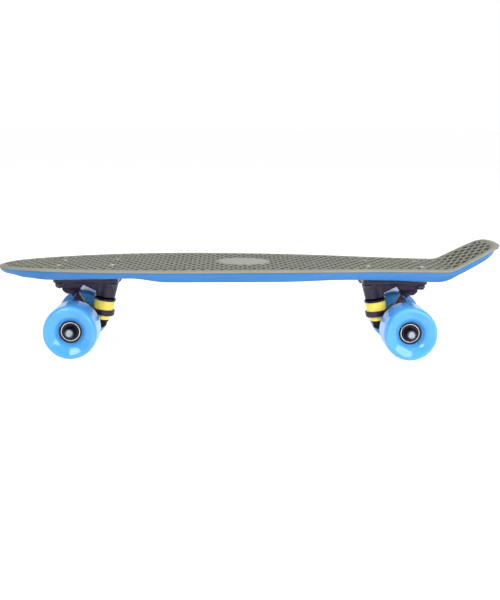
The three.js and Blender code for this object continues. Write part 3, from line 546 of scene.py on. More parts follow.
def makeRim():
    lip, inner, rise = rim["lip"], rim["lip"] + rim["grooveWidth"], rim["rise"]
    # each loop as (inset, share of the grey layer down, millimetres up): from the field along the rim's own
    # underside to the wall that stands on the blue body, over the edge and down into the groove
    loops = [(inset, 1, rim["foot"]) for inset in (inner, lip / 2, rim["wallInset"])]
    loops.append((rim["wallTop"], rim["wallShare"], 0))
    loops += [(inset, 0, share * rise - down) for inset, share, down in rim["edge"]]
    loops += [(inset, 0, rise - rim["groove"]) for inset in (lip + rim["grooveSide"], inner)]
    loops = [[(x, y, surfaceHeight(x) - topLayer(x) * share + up) for x, y in outlineLoop(inset)]
             for inset, share, up in loops]
    return makeObject("deck_rim", *bandFaces(loops, True), finish["deckTop"], 40)


rideOn(makeRim(), "board", "deck_grey", "deck_top")

print("stage: waffle grip by geometry nodes")

# the photo shows the plate longer than wide, with a thin raised ring round it
plate = {"x": -6.3, "long": 31.4, "wide": 25.2, "rise": 1.45, "ring": 1.5, "grooveWidth": 1.7, "groove": 0.9,
         "foot": -1.2, "edgeRound": 0.5, "ringRound": 0.4, "grooveRound": 0.2, "crown": 0.25, "lap": 0.4,
         "holeSteps": 64, "holeReach": 9}
# the pits are lozenges between ridges; the cutter and the guide are tools that reach past the deck
waffle = {"inset": 9.9, "pitchAlong": 10.35, "pitchAcross": 17.9, "ridge": 2.0, "round": 0.28, "draft": 0.45,
          "pitDepth": 1.55, "rise": 1.4, "slab": 2.2, "cells": 72, "cutterOver": 1.0,
          "guideBefore": 6, "guideStep": 2.0, "guideCount": 300, "guideHalf": 90, "guideOver": 1.0,
          "rayLength": 3.0}


# a tree with inputs of the given kinds, and its two ends
def startTree(name, inputs):
    tree = bpy.data.node_groups.new(name, "GeometryNodeTree")
    tree.interface.new_socket("Geometry", in_out="INPUT", socket_type="NodeSocketGeometry")
    for label, kind in inputs.items():
        tree.interface.new_socket(label, in_out="INPUT", socket_type="NodeSocket" + kind)
    tree.interface.new_socket("Geometry", in_out="OUTPUT", socket_type="NodeSocketGeometry")
    return tree, tree.nodes.new("NodeGroupInput").outputs, tree.nodes.new("NodeGroupOutput")


# ends a tree with its instances made real and its material set
def endTree(tree, end, geometry, material):
    real = addNode(tree, "GeometryNodeRealizeInstances", {0: geometry}).outputs[0]
    paint = addNode(tree, "GeometryNodeSetMaterial", {0: real, "Material": material}).outputs[0]
    tree.links.new(paint, end.inputs[0])
    return tree


# runs a tree on an object and keeps the result as its mesh
def runTree(obj, tree, values, crease=35):
    modifier = obj.modifiers.new(tree.name, "NODES")
    modifier.node_group = tree
    for item in tree.interface.items_tree:
        if item.item_type == "SOCKET" and item.in_out == "INPUT" and item.name in values:
            modifier[item.identifier] = values[item.name]
    bakeModifiers(obj)
    return dressAgain(obj, values["Material"], crease)


def waffleTree():
    tree, ask, end = startTree("waffle_grip", {
        "Cells": "Int", "Guide": "Object", "Material": "Material",
        **{label: "Float" for label in ("Pitch Along", "Pitch Across", "Top Share", "Edge Share", "Floor Share",
                                        "Round", "Pit Depth", "Slab", "Rise", "Guide Over", "Ray Length")}})
    split = addNode(tree, "ShaderNodeSeparateXYZ",
                    {0: addNode(tree, "GeometryNodeInputPosition").outputs[0]}).outputs
    box = addNode(tree, "GeometryNodeBoundBox", {0: ask["Geometry"]}).outputs["Max"]
    size = addNode(tree, "ShaderNodeSeparateXYZ", {0: box}).outputs
    # where the guide's surface lies under or over a point
    guide = addNode(tree, "GeometryNodeObjectInfo", {0: ask["Guide"]}).outputs["Geometry"]
    high = addNode(tree, "ShaderNodeCombineXYZ", {0: split[0], 1: split[1], 2: ask["Guide Over"]}).outputs[0]
    ray = addNode(tree, "GeometryNodeRaycast", {0: guide, "Source Position": high, "Ray Direction": (0, 0, -1),
                                                "Ray Length": ask["Ray Length"]}).outputs["Hit Position"]
    hit = addNode(tree, "ShaderNodeSeparateXYZ", {0: ray}).outputs[2]
    # the tree's sums: name, what it does, and numbers or earlier names
    known = {"x": split[0], "y": split[1], "z": split[2], "boxX": size[0], "boxY": size[1], "hit": hit}
    for name, operation, *parts in [
            ("verts", "ADD", "Cells", 1.0), ("halfAlong", "MULTIPLY", "Pitch Along", 0.5),
            ("halfAcross", "MULTIPLY", "Pitch Across", 0.5), ("sum", "ADD", "x", "y"),
            ("gap", "SUBTRACT", "y", "x"), ("skewX", "MULTIPLY", "sum", "halfAlong"),
            ("skewY", "MULTIPLY", "gap", "halfAcross"),
            ("low", "MULTIPLY", "Slab", -1.0), ("sizeX", "ABSOLUTE", "x"), ("sizeY", "ABSOLUTE", "y"),
            ("reachX", "ADD", "boxX", "Pitch Along"), ("reachY", "ADD", "boxY", "Pitch Across"),
            ("outX", "GREATER_THAN", "sizeX", "reachX"), ("outY", "GREATER_THAN", "sizeY", "reachY"),
            ("outside", "MAXIMUM", "outX", "outY"), ("edgeRatio", "DIVIDE", "Edge Share", "Top Share"),
            ("floorRatio", "DIVIDE", "Floor Share", "Edge Share"), ("roundDrop", "MULTIPLY", "Round", -1.0),
            ("pitDrop", "SUBTRACT", "Round", "Pit Depth"), ("pitFloor", "MULTIPLY", "Pit Depth", -1.0),
            ("onGuide", "ADD", "hit", "z"), ("laidZ", "ADD", "onGuide", "Rise")]:
        parts = [known.get(part, ask.get(part)) if isinstance(part, str) else part for part in parts]
        known[name] = addNode(tree, "ShaderNodeMath", dict(enumerate(parts)), {"operation": operation}).outputs[0]
    grid = addNode(tree, "GeometryNodeMeshGrid", {"Size X": ask["Cells"], "Size Y": ask["Cells"],
                                                  "Vertices X": known["verts"], "Vertices Y": known["verts"]})
    skew = addNode(tree, "ShaderNodeCombineXYZ",
                   {0: known["skewX"], 1: known["skewY"], 2: known["low"]}).outputs[0]
    lattice = addNode(tree, "GeometryNodeSetPosition", {0: grid.outputs[0], "Position": skew}).outputs[0]
    # only the cells round the deck are kept
    lattice = addNode(tree, "GeometryNodeDeleteGeometry", {0: lattice, 1: known["outside"]},
                      {"domain": "FACE"}).outputs[0]
    # closed slab under the lattice
    up = addNode(tree, "ShaderNodeCombineXYZ", {2: ask["Slab"]}).outputs[0]
    slab = addNode(tree, "GeometryNodeExtrudeMesh", {"Individual": False, "Offset Scale": 1.0, "Mesh": lattice,
                                                     "Offset": up}, {"mode": "FACES"})
    under = addNode(tree, "GeometryNodeFlipFaces", {0: lattice}).outputs[0]
    mesh, top = slab.outputs["Mesh"], slab.outputs["Top"]
    # each pit by its ridge's flat top, rounded edge and drafted wall
    for share, drop in ((ask["Top Share"], None), (known["edgeRatio"], known["roundDrop"]),
                        (known["floorRatio"], known["pitDrop"])):
        inputs = {"Individual": True, "Offset Scale": 0.0, "Mesh": mesh, "Selection": top}
        if drop is not None:
            offset = addNode(tree, "ShaderNodeCombineXYZ", {2: drop}).outputs[0]
            inputs.update({"Offset Scale": 1.0, "Offset": offset})
        step = addNode(tree, "GeometryNodeExtrudeMesh", inputs, {"mode": "FACES"})
        top = step.outputs["Top"]
        mesh = addNode(tree, "GeometryNodeScaleElements", {0: step.outputs["Mesh"], "Selection": top,
                                                           "Scale": share}).outputs[0]
    whole = addNode(tree, "GeometryNodeJoinGeometry", {0: [mesh, under]}).outputs[0]
    closed = addNode(tree, "GeometryNodeMergeByDistance", {"Distance": 1e-6, 0: whole}).outputs[0]
    cut = addNode(tree, "GeometryNodeMeshBoolean", {"Mesh 2": [closed, ask["Geometry"]]},
                  {"operation": "INTERSECT", "solver": "EXACT"}).outputs[0]
    # how deep a point lies in its pit, kept for the painted shade that darkens the pits
    deep = addNode(tree, "ShaderNodeMapRange", {"From Min": 0.0, "To Min": 0.0, "To Max": 1.0, "Value": split[2],
                                                "From Max": known["pitFloor"]}).outputs[0]
    kept = addNode(tree, "GeometryNodeStoreNamedAttribute", {"Name": "pitDepth", 0: cut, "Value": deep},
                   {"data_type": "FLOAT", "domain": "POINT"}).outputs[0]
    # laid on the deck's surface
    laid = addNode(tree, "ShaderNodeCombineXYZ", {0: split[0], 1: split[1], 2: known["laidZ"]}).outputs[0]
    bent = addNode(tree, "GeometryNodeSetPosition", {0: kept, "Position": laid}).outputs[0]
    return endTree(tree, end, bent, ask["Material"])


# a sheet on the deck's top surface that the tree aims at
def makeGuide():
    xs = [deck["nose"] - waffle["guideBefore"] + waffle["guideStep"] * i for i in range(waffle["guideCount"])]
    points = [(x, y, surfaceHeight(x)) for x in xs for y in (-waffle["guideHalf"], waffle["guideHalf"])]
    faces = [(2 * i, 2 * i + 2, 2 * i + 3, 2 * i + 1) for i in range(len(xs) - 1)]
    return makeObject("deck_guide", points, faces, finish["deckTop"])


def makeWaffle():
    over, holeSteps = waffle["cutterOver"], plate["holeSteps"]
    # the cutter reaches past the slab, so that every face left is as small as a cell and bends with the kick
    field = makeObject("deck_waffle", *raised(outlineLoop(waffle["inset"]), -waffle["slab"] - over, over),
                       finish["deckTop"])
    reach, across = plate["long"] - plate["lap"], plate["wide"] - plate["lap"]
    angles = [step * math.pi / (holeSteps / 2) for step in range(holeSteps)]
    hole = [(plate["x"] + reach * math.cos(a), across * math.sin(a)) for a in angles]
    tool = raised(hole, -plate["holeReach"], plate["holeReach"])
    cutWith(field, makeObject("plate_hole", *tool, finish["deckTop"]))
    guide = makeGuide()
    long, wide = waffle["pitchAlong"] / 2, waffle["pitchAcross"] / 2
    inRadius = long * wide / math.hypot(long, wide)
    half = waffle["ridge"] / 2
    shares = {"Top Share": half - waffle["round"], "Edge Share": half, "Floor Share": half + waffle["draft"]}
    sizes = {"Pitch Along": waffle["pitchAlong"], "Pitch Across": waffle["pitchAcross"], "Round": waffle["round"],
             "Pit Depth": waffle["pitDepth"], "Slab": waffle["slab"], "Rise": waffle["rise"]}
    field = runTree(field, waffleTree(), {
        "Cells": waffle["cells"], "Guide": guide, "Guide Over": waffle["guideOver"],
        "Ray Length": waffle["rayLength"], "Material": finish["deckTop"],
        **{label: 1 - size / inRadius for label, size in shares.items()},
        **{label: size * mm for label, size in sizes.items()}})
    dropObject(guide)
    return field


rideOn(makeWaffle(), "board", "deck_grey", "deck_top")

print("stage: round plate")


def makePlate():
    long, rise, foot, low = plate["long"], plate["rise"], plate["foot"], plate["rise"] - plate["groove"]
    ringIn, grooveIn = long - plate["ring"], long - plate["ring"] - plate["grooveWidth"]
    edge, soft, tight = plate["edgeRound"], plate["ringRound"], plate["grooveRound"]
    profile = [(0, foot), (long, foot)] + rounded([
        (long, foot, 0), (long, rise, edge), (ringIn, rise, soft), (ringIn, low, tight), (grooveIn, low, tight),
        (grooveIn, rise, soft), (0, rise + plate["crown"], 0)], 3, False)[1:]
    place = Matrix.Translation((plate["x"], 0, surfaceHeight(plate["x"])))
    place = place @ Matrix.Diagonal((1, plate["wide"] / long, 1, 1))
    return makeObject("deck_plate", *turned(profile, 96, place), finish["plate"], 45)


rideOn(makePlate(), "board", "deck_grey", "deck_top")

print("stage: deck body")

# each truck is drawn in its own frame: x towards the middle of the board from the axle, z from the floor
truckPlaces = {"front": Matrix.Translation((axleX["front"], 0, 0)),
               "rear": Matrix.Translation((axleX["rear"], 0, 0)) @ Matrix.Rotation(math.pi, 4, "Z")}
truck = {"kingpinX": 31.2, "face": 58.9, "tilt": math.radians(10), "pivotX": -8.0, "pivotZ": 73.0, "mouth": 11.4,
         "neckGap": 0.8, "nose": 3.5, "cup": 5.1, "ringTop": 14.6, "ringBottom": 21.6, "ringRadius": 13.5,
         "barrel": 11.5, "barrelEnd": 8.2, "barrelHalf": 13, "hangerHalf": 38.0, "flange": (-25.3, 48.55, 54.5),
         "flangeTop": 83.7, "flangeBottom": 77.7, "flangeCorner": 6, "housing": (11.2, 13.2), "knee": (21.7, 65.9),
         "ribStart": (6.0, 73.5), "ribWidth": 17, "bossOuter": -17.6, "bossBottom": 62.0, "bossHalf": 9.5,
         "axleZ": 30.0, "axleBore": 4.07, "boltCentre": 12.3, "boltLong": 60.8, "boltWide": 41.3, "boltBore": 2.7,
         "kingpinBore": 4.3, "headPocket": (6.9, 17.9),
         "web": [(-5.9, 55.0), (-6.9, 44.95), (-11.04, 32.3), (-3.45, 20.8), (10.35, 25.98)],
         "webTop": (7.8, 51.0),
         "webRows": [(20.0, 20), (25.0, 25), (35.2, 25), (45.0, 10), (56.0, 4.4), (74, 3.8)]}
kingpinPlace = Matrix.Translation((truck["kingpinX"], 0, truck["face"])) @ Matrix.Rotation(truck["tilt"], 4, "Y")
ringPoint = kingpinPlace @ Vector((0, 0, -(truck["ringTop"] + truck["ringBottom"]) / 2))
pivotPoint = Vector((truck["pivotX"], 0, truck["pivotZ"]))
pivotAxis = (ringPoint - pivotPoint).normalized()
pivotSide = Vector((-pivotAxis.z, 0, pivotAxis.x))
pivotPlace = Matrix.Translation(pivotPoint) @ Matrix.Rotation(
    math.atan2(pivotPoint.x - ringPoint.x, pivotPoint.z - ringPoint.z), 4, "Y")

body = {"topEdge": 0.5, "under": 0.02, "footRound": 1.3, "padHeight": 84.0, "padMargin": 1.8, "padCorner": 5.0,
        "padSunk": 1.2, "leastSkirt": 0.6}


# a point of the outline moved to the body's own outline, which stops short of the tail's lip
def bodyPoint(x, y):
    along = (x - deck["nose"]) / deck["length"]
    length = deck["length"] - deck["bodyInset"] - deck["bodyTail"]
    return deck["nose"] + deck["bodyInset"] + along * length, y * (1 - 2 * deck["bodyInset"] / deck["width"])


def bodyTop(x):
    return surfaceHeight(x) - topLayer(x) - body["under"]


def makeBody():
    draft, wide, foot = deck["draft"], deck["skirtWidth"], body["footRound"]
    # (inset, share of the depth, millimetres up from that)
    profile = [(body["topEdge"], 0, 0), (0.12, 0, -0.15), (0.0, 0, -0.5), (0.0, 0.25, 0), (draft * 0.33, 0.6, 0),
               (draft * 0.72, 0.85, 0), (draft, 1, foot), (draft + foot * 0.3, 1, foot * 0.3),
               (draft + foot, 1, 0), (wide - foot, 1, 0), (wide - foot * 0.3, 1, foot * 0.3), (wide, 1, foot)]
    loops = []
    for inset, share, up in profile:
        loop = [bodyPoint(x, y) for x, y in outlineLoop(inset)]
        loops.append([(x, y, bodyTop(x) - bodyDepth(x) * share + up) for x, y in loop])
    # the hollow's corner and the skin's underside: (inset, millimetres under the skin)
    for inset, extra in ((wide + 0.4, 0.9), (wide + 1.3, 0.0)):
        loop = [bodyPoint(x, y) for x, y in outlineLoop(inset)]
        loops.append([(x, y, bodyTop(x) - min(deck["skin"] + extra, bodyDepth(x) - body["leastSkirt"]))
                      for x, y in loop])
    points, faces = bandFaces(loops, False)
    count = len(loops[0])
    shapes = [(points, faces + crossFaces(0, count) + crossFaces(count * (len(loops) - 1), count))]
    margin, (outer, inner, across) = body["padMargin"], truck["flange"]
    for end, inward in (("front", 1), ("rear", -1)):
        middle = axleX[end]
        x0, x1 = sorted((middle + inward * (outer - margin), middle + inward * (inner + margin)))
        pad = roundedPlate(x0, x1, across / 2 + margin, body["padCorner"], 4)
        shapes.append(raised(pad, body["padHeight"], bodyTop(middle) - body["padSunk"]))
    return makeObject("deck_shell", *joined(shapes), finish["deckBody"], 40)


rideOn(makeBody(), "board", "deck_blue", "deck_body")

print("stage: ribs by geometry nodes")

# lanes run along the board, crossing ribs stand evenly spaced on both sides of its middle
ribs = {"width": 2.2, "depth": 5.5, "sunk": 1.0, "top": 2.0, "depthShare": 0.85, "round": 0.5, "spacing": 60.0,
        "each": 4, "lanes": (-30.0, 0.0, 30.0), "laneMargin": 0.5, "step": 4, "fromNose": 8, "endRoom": 24,
        "skirtGap": 0.2}


def ribTree():
    tree, ask, end = startTree("shell_ribs", {"Width": "Float", "Depth": "Float", "Round": "Float",
                                              "Material": "Material"})
    line = addNode(tree, "GeometryNodeMeshToCurve", {0: ask["Geometry"]}).outputs[0]
    upright = addNode(tree, "GeometryNodeSetCurveNormal", {0: line}, {"mode": "Z_UP"}).outputs[0]
    shape = addNode(tree, "GeometryNodeCurvePrimitiveQuadrilateral",
                    {"Width": ask["Width"], "Height": ask["Depth"]}).outputs[0]
    soft = addNode(tree, "GeometryNodeFilletCurve", {"Count": 3, 0: shape, "Radius": ask["Round"]},
                   {"mode": "POLY"}).outputs[0]
    solid = addNode(tree, "GeometryNodeCurveToMesh",
                    {"Fill Caps": True, 0: upright, "Profile Curve": soft}).outputs[0]
    return endTree(tree, end, solid, ask["Material"])


# half width of the hollow at an x
def hollowHalf(x):
    inner = [bodyPoint(*p) for p in outlineLoop(deck["skirtWidth"] + ribs["skirtGap"])[:deck["steps"] + 1]]
    for (x0, y0), (x1, y1) in zip(inner, inner[1:]):
        if x0 <= x <= x1:
            return y0 + (y1 - y0) * (x - x0) / max(x1 - x0, 1e-6)
    return 0.0


def ribMiddle(x):
    deepest = min(ribs["depth"] + ribs["sunk"], bodyDepth(x) * ribs["depthShare"] - ribs["top"])
    return bodyTop(x) - ribs["top"] - deepest / 2


def makeRibs():
    step = ribs["step"]
    count = int((deck["length"] - ribs["endRoom"]) / step)
    xs = [deck["nose"] + ribs["fromNose"] + step * i for i in range(count)]
    lines = [[(x, lane, ribMiddle(x)) for x in xs if hollowHalf(x) > abs(lane) - ribs["laneMargin"]]
             for lane in ribs["lanes"]]
    for x in [i * ribs["spacing"] for i in range(-ribs["each"], ribs["each"] + 1)]:
        lines.append([(x, y, ribMiddle(x)) for y in (-hollowHalf(x), 0, hollowHalf(x))])
    points, edges = [], []
    for line in lines:
        first = len(points)
        points += line
        edges += [(first + i, first + i + 1) for i in range(len(line) - 1)]
    mesh = bpy.data.meshes.new("shell_ribs")
    mesh.from_pydata([Vector(p) * mm for p in points], edges, [])
    return runTree(addObject("shell_ribs", mesh), ribTree(), {
        "Width": ribs["width"] * mm, "Depth": (ribs["depth"] + ribs["sunk"]) * mm, "Round": ribs["round"] * mm,
        "Material": finish["deckBody"]})


rideOn(makeRibs(), "board", "deck_blue", "deck_body")

print("stage: truck castings")

# the closed forms of a casting are fused in cells of this size, and its edges softened
casting = {"voxel": 0.62, "smooth": 5, "factor": 0.5, "crease": 40}


# closed forms that overlap, fused into one skin with soft cast edges, then bored
def fuseCasting(name, shapes, cuts):
    obj = makeObject(name, *joined(shapes), finish["cast"])
    remesh = obj.modifiers.new("fuse", "REMESH")
    remesh.mode, remesh.voxel_size, remesh.adaptivity = "VOXEL", casting["voxel"] * mm, 0.0
    soften = obj.modifiers.new("soften", "SMOOTH")
    soften.factor, soften.iterations = casting["factor"], casting["smooth"]
    bakeModifiers(obj)
    for index, cut in enumerate(cuts):
        cutWith(obj, makeObject(f"{name}_cut_{index}", *cut, finish["cast"]))
    return dressAgain(obj, finish["cast"], casting["crease"])


# where the pivot's mouth face meets a height
def mouthAt(height):
    mouth = pivotPoint + pivotAxis * truck["mouth"]
    return mouth.x + (height - mouth.z) * pivotSide.x / pivotSide.z, height


# a form where its side outline (x, z) and its front outline (height, half width) agree
def agreedShape(outline, rows, width):
    tall = raised([Vector(p) for p in outline], -width / 2, width / 2, acrossAt())
    front = [(y, z) for z, y in rows] + [(-y, z) for z, y in reversed(rows)]
    # the front outline's own x and y become y and z, and it runs 90 mm along x from behind the boss
    place = Matrix.Translation((-30, 0, 0)) @ Matrix(((0, 0, 1, 0), (1, 0, 0, 0), (0, 1, 0, 0), (0, 0, 0, 1)))
    wide = raised([Vector(p) for p in front], 0, 90, place)
    obj = makeObject("side_form", *tall, finish["cast"])
    cutWith(obj, makeObject("front_form", *wide, finish["cast"]), "INTERSECT")
    return takeShape(obj)


def baseplateShapes():
    low, high, tilt = truck["flangeBottom"], truck["flangeTop"], truck["tilt"]
    middle, corner, half = (low + high) / 2, truck["flangeCorner"], truck["bossHalf"]
    x0, x1, wide = truck["flange"]
    shapes = [raised(roundedPlate(x0, x1, wide / 2, corner, 6), low + 1, high),
              raised(roundedPlate(x0 + 1, x1 - 1, wide / 2 - 1, corner - 1, 6), low, middle)]
    housing = (middle - truck["face"]) / math.cos(tilt)
    bottom, top = truck["housing"]
    shapes.append(turned([(0, 0), (bottom, 0), (top, housing), (0, housing)], 56, kingpinPlace))
    knee, start, kingpinX, face = truck["knee"], truck["ribStart"], truck["kingpinX"], truck["face"]
    kneeFace = face - (knee[0] - kingpinX) * math.tan(tilt)
    gusset = [mouthAt(middle), start, knee, (knee[0], kneeFace), (kingpinX, face), (kingpinX, middle)]
    gusset = rounded([(x, z, 0.6) for x, z in gusset], 2)
    shapes.append(raised(gusset, -truck["ribWidth"] / 2, truck["ribWidth"] / 2, acrossAt()))
    outer, bottom = truck["bossOuter"], truck["bossBottom"]
    boss = rounded([(outer, middle, 0), (outer, bottom + 5.2, 2), (outer + 2.9, bottom + 1, 2),
                    (outer + 5, bottom, 1), (-7.8, bottom, 1), (-6.8, bottom - 3.2, 0.5),
                    (*mouthAt(bottom - 3.4), 0.5), (*mouthAt(middle), 0)], 4)
    rows = [(bottom - 3.6, 4.2), (bottom, 5.2), (bottom + 2, 6.8), (bottom + 5, 8.6), (low - 8, half),
            (middle, half)]
    return shapes + [agreedShape(boss, rows, 2 * half)]


# the four mounting bolts of a truck
def boltSpots():
    return [(truck["boltCentre"] + a * truck["boltLong"] / 2, b * truck["boltWide"] / 2)
            for a in (-1, 1) for b in (-1, 1)]


# the pivot cup's seat, the kingpin's bore, the pocket for its head, and the bolt holes
def baseplateCuts():
    cup = truck["cup"]
    cuts = [(cup + 0.25, -20, cup + 2.2, pivotPlace), (truck["kingpinBore"], -6, 40, kingpinPlace),
            (*truck["headPocket"], 40, kingpinPlace)]
    cuts += [(truck["boltBore"], 70, 90, Matrix.Translation((x, y, 0)), 24) for x, y in boltSpots()]
    return [turnedBar(*cut) for cut in cuts]


def hangerShapes():
    half, thick, thin, near = truck["hangerHalf"], truck["barrel"], truck["barrelEnd"], truck["barrelHalf"]
    barrel = turned([(0, -half), (thin, -half), (thin, 4 - half), (thick, -near), (thick, near), (thin, half - 4),
                     (thin, half), (0, half)], 56, acrossAt(0, truck["axleZ"]))
    nose, root = truck["nose"], -truck["mouth"] - truck["neckGap"] - 1.2
    pin = turned([(0, root), (nose * 0.6, root), (nose, root + 2.2), (nose, 0), (nose * 0.71, nose * 0.71),
                  (0, nose)], 32, pivotPlace)
    radius, top, bottom = truck["ringRadius"], -truck["ringTop"], -truck["ringBottom"]
    ring = [(0, bottom), (radius - 1, bottom), (radius, bottom + 1), (radius, top), (0, top)]
    # the web from the neck down round the axle and out to the ring
    neck = pivotPoint + pivotAxis * (truck["mouth"] + truck["neckGap"])
    edge = ringPoint.x - radius
    web = [(p.x, p.z) for p in (neck - pivotSide * 1.2, neck - pivotSide * 10.0)]
    web += [*truck["web"], (edge + 1.75, ringPoint.z - 1.05), (edge, ringPoint.z + 5.04), truck["webTop"]]
    return [barrel, pin, turned(ring, 64, kingpinPlace), agreedShape(web, truck["webRows"], 2 * half)]


# the ring's seats for the two bushings and its hole, and the axle's bore
def hangerCuts():
    top, bottom = -truck["ringTop"], -truck["ringBottom"]
    cuts = [(12.1, top - 1, -5, kingpinPlace), (9.3, -40, bottom + 1, kingpinPlace), (6.0, -40, -5, kingpinPlace),
            (truck["axleBore"], -60, 60, acrossAt(0, truck["axleZ"]))]
    return [turnedBar(*cut) for cut in cuts]


# moves a finished truck-frame mesh to its end of the board
def toEnd(obj, end):
    place = truckPlaces[end]
    obj.data.transform(Matrix.Translation(place.translation * mm) @ place.to_3x3().to_4x4())
    return obj


def makeCastings():
    base = fuseCasting("front_baseplate_cast", baseplateShapes(), baseplateCuts())
    hanger = fuseCasting("front_hanger_cast", hangerShapes(), hangerCuts())
    for first, part in ((base, "baseplate"), (hanger, "hanger")):
        second = addObject(f"rear_{part}_cast", first.data.copy())
        for end, obj in (("front", first), ("rear", second)):
            rider = "board" if part == "baseplate" else f"{end}_hanger"
            rideOn(toEnd(obj, end), rider, "truck_cast", f"{end}_{part}")


makeCastings()

print("stage: kingpin stacks")

# starts and tip run down the kingpin's tilted axis from the housing's end face, headFloor and cup up it
stack = {"bore": truck["kingpinBore"], "upperStart": 2.1, "upperLength": 13.2, "upperRadius": 11.8,
         "lowerStart": 20.9, "lowerLength": 6.2, "lowerTop": 9.0, "lowerBottom": 8.0, "washerStart": 27.4,
         "washerThick": 1.5, "washerRadius": 8.25, "nutStart": 29.2, "nutWidth": 13, "nutHeight": 5.6,
         "nutBore": 4.0, "nutCollar": 1.4, "pin": 4.0, "tip": 37.7, "headFloor": 18.1, "headRadius": 6.5,
         "headHeight": 5,
         "cup": [(11.0, -0.3, 1.4), (12.7, -1.6, 0.6), (12.7, -4.1, 0.2), (12.1, -4.1, 0.2), (12.1, -1.8, 0.5)]}


# rings of thread as a profile between two heights
def threadProfile(radius, low, high, pitch, depth=0.45):
    turns = int((high - low) / pitch)
    out = []
    for z in [low + i * pitch for i in range(turns)]:
        out += [(radius - depth, z), (radius, z + pitch * 0.4), (radius, z + pitch * 0.6)]
    return out + [(radius - depth, low + turns * pitch)]


# a hexagonal nut with chamfered corners standing on z = 0, and its round collar
def hexNut(width, height, bore, place, collar=0.0, segments=48):
    flat, corner = width / 2, width / math.sqrt(3)
    # radius and height of the round rings; the two with no radius follow the hexagon
    levels = [(flat * 0.97, 0.0), (None, height * 0.06), (None, height * 0.86), (flat * 0.95, height)]
    if collar:
        levels += [(flat * 0.86, height), (flat * 0.86, height + collar * 0.7), (flat * 0.8, height + collar),
                   (bore + 0.3, height + collar), (bore, height + collar - 0.3), (bore, 0.0)]
    else:
        levels += [(bore, height), (bore, 0.0)]
    loops = []
    for radius, z in levels:
        loop = []
        for i in range(segments):
            angle = 2 * math.pi * i / segments
            turn = (angle + math.pi / 6) % (math.pi / 3) - math.pi / 6
            reach = radius or flat / math.cos(turn)
            lift = 0.0 if radius else (reach - flat) / (corner - flat) * height * 0.1
            loop.append(place @ Vector((reach * math.cos(angle), reach * math.sin(angle),
                                        z + lift if z < height / 2 else z - lift)))
        loops.append(loop)
    return bandFaces(loops, True)


def makeStack(end):
    place, bore, cup = kingpinPlace, stack["bore"], stack["cup"]
    upper, lower, high = -stack["upperStart"], -stack["lowerStart"], -stack["washerStart"]
    upperLow, lowerLow = upper - stack["upperLength"], lower - stack["lowerLength"]
    low = high - stack["washerThick"]
    wide, lowerWide, flat = stack["upperRadius"], stack["lowerTop"], stack["washerRadius"]

    # a turned ring of the stack, moved to its end of the board
    def ringPiece(name, corners, steps, segments, paint):
        ring = turnedRing(corners, steps, segments, place)
        return toEnd(makeObject(f"{end}_{name}", *ring, finish[paint], 50), end)

    cupPiece = ringPiece("cup_washer_dish", [(bore, cup[0][1], 0), *cup, (bore, cup[-1][1], 0)], 4, 72, "cup")
    rideOn(cupPiece, "board", "black_steel", f"{end}_cup_washer")
    upperPiece = ringPiece("upper_bushing_cast", [
        (bore, upper, 0), (wide - 0.1, upper, 1.0), (wide, upper - stack["upperLength"] / 2, 20),
        (wide - 0.15, upperLow, 1.0), (bore, upperLow, 0)], 6, 72, "yellow")
    lowerPiece = ringPiece("lower_bushing_cast", [
        (bore, lower, 0), (lowerWide, lower, 0.8), (lowerWide - 0.1, lower - stack["lowerLength"] * 0.45, 8),
        (stack["lowerBottom"], lowerLow, 0.9), (bore, lowerLow, 0)], 6, 64, "yellow")
    for piece, part, fixed, moving in ((upperPiece, "upper_bushing", upper, upperLow),
                                       (lowerPiece, "lower_bushing", lowerLow, lower)):
        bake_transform(piece)
        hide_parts(f"{end}_{part}")
    washer = ringPiece("lower_washer_flat", [(bore, high, 0.2), (flat, high, 0.4), (flat, low, 0.4),
                                             (bore, low, 0.2)], 3, 56, "cup")
    rideOn(washer, "board", "black_steel", f"{end}_lower_washer")
    nutPlace = place @ Matrix.Translation((0, 0, -stack["nutStart"])) @ Matrix.Rotation(math.pi, 4, "X")
    nut = hexNut(stack["nutWidth"], stack["nutHeight"], stack["nutBore"], nutPlace, stack["nutCollar"])
    nut = makeObject(f"{end}_kingpin_lock_nut", *nut, finish["blackSteel"], 30)
    rideOn(toEnd(nut, end), "board", "black_steel", f"{end}_kingpin_nut")
    radius, tip, floor, head = stack["pin"], -stack["tip"], stack["headFloor"], stack["headRadius"]
    shank = [(0, tip), (radius - 0.8, tip), *threadProfile(radius, tip + 0.5, tip + 10.5, 1.0), (radius, tip + 11),
             (radius, floor), (head, floor), (head, floor + stack["headHeight"]), (0, floor + stack["headHeight"])]
    pin = makeObject(f"{end}_kingpin_bolt", *turned(shank, 40, place), finish["blackSteel"], 40)
    rideOn(toEnd(pin, end), "board", "black_steel", f"{end}_kingpin")
    # the pivot cup's solid stays, with its moulded finish
    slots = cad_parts[f"{end}_pivot_cup"].data.materials
    slots.clear()
    slots.append(finish["core"])


for end in axleX:
    makeStack(end)

print("stage: wheels")

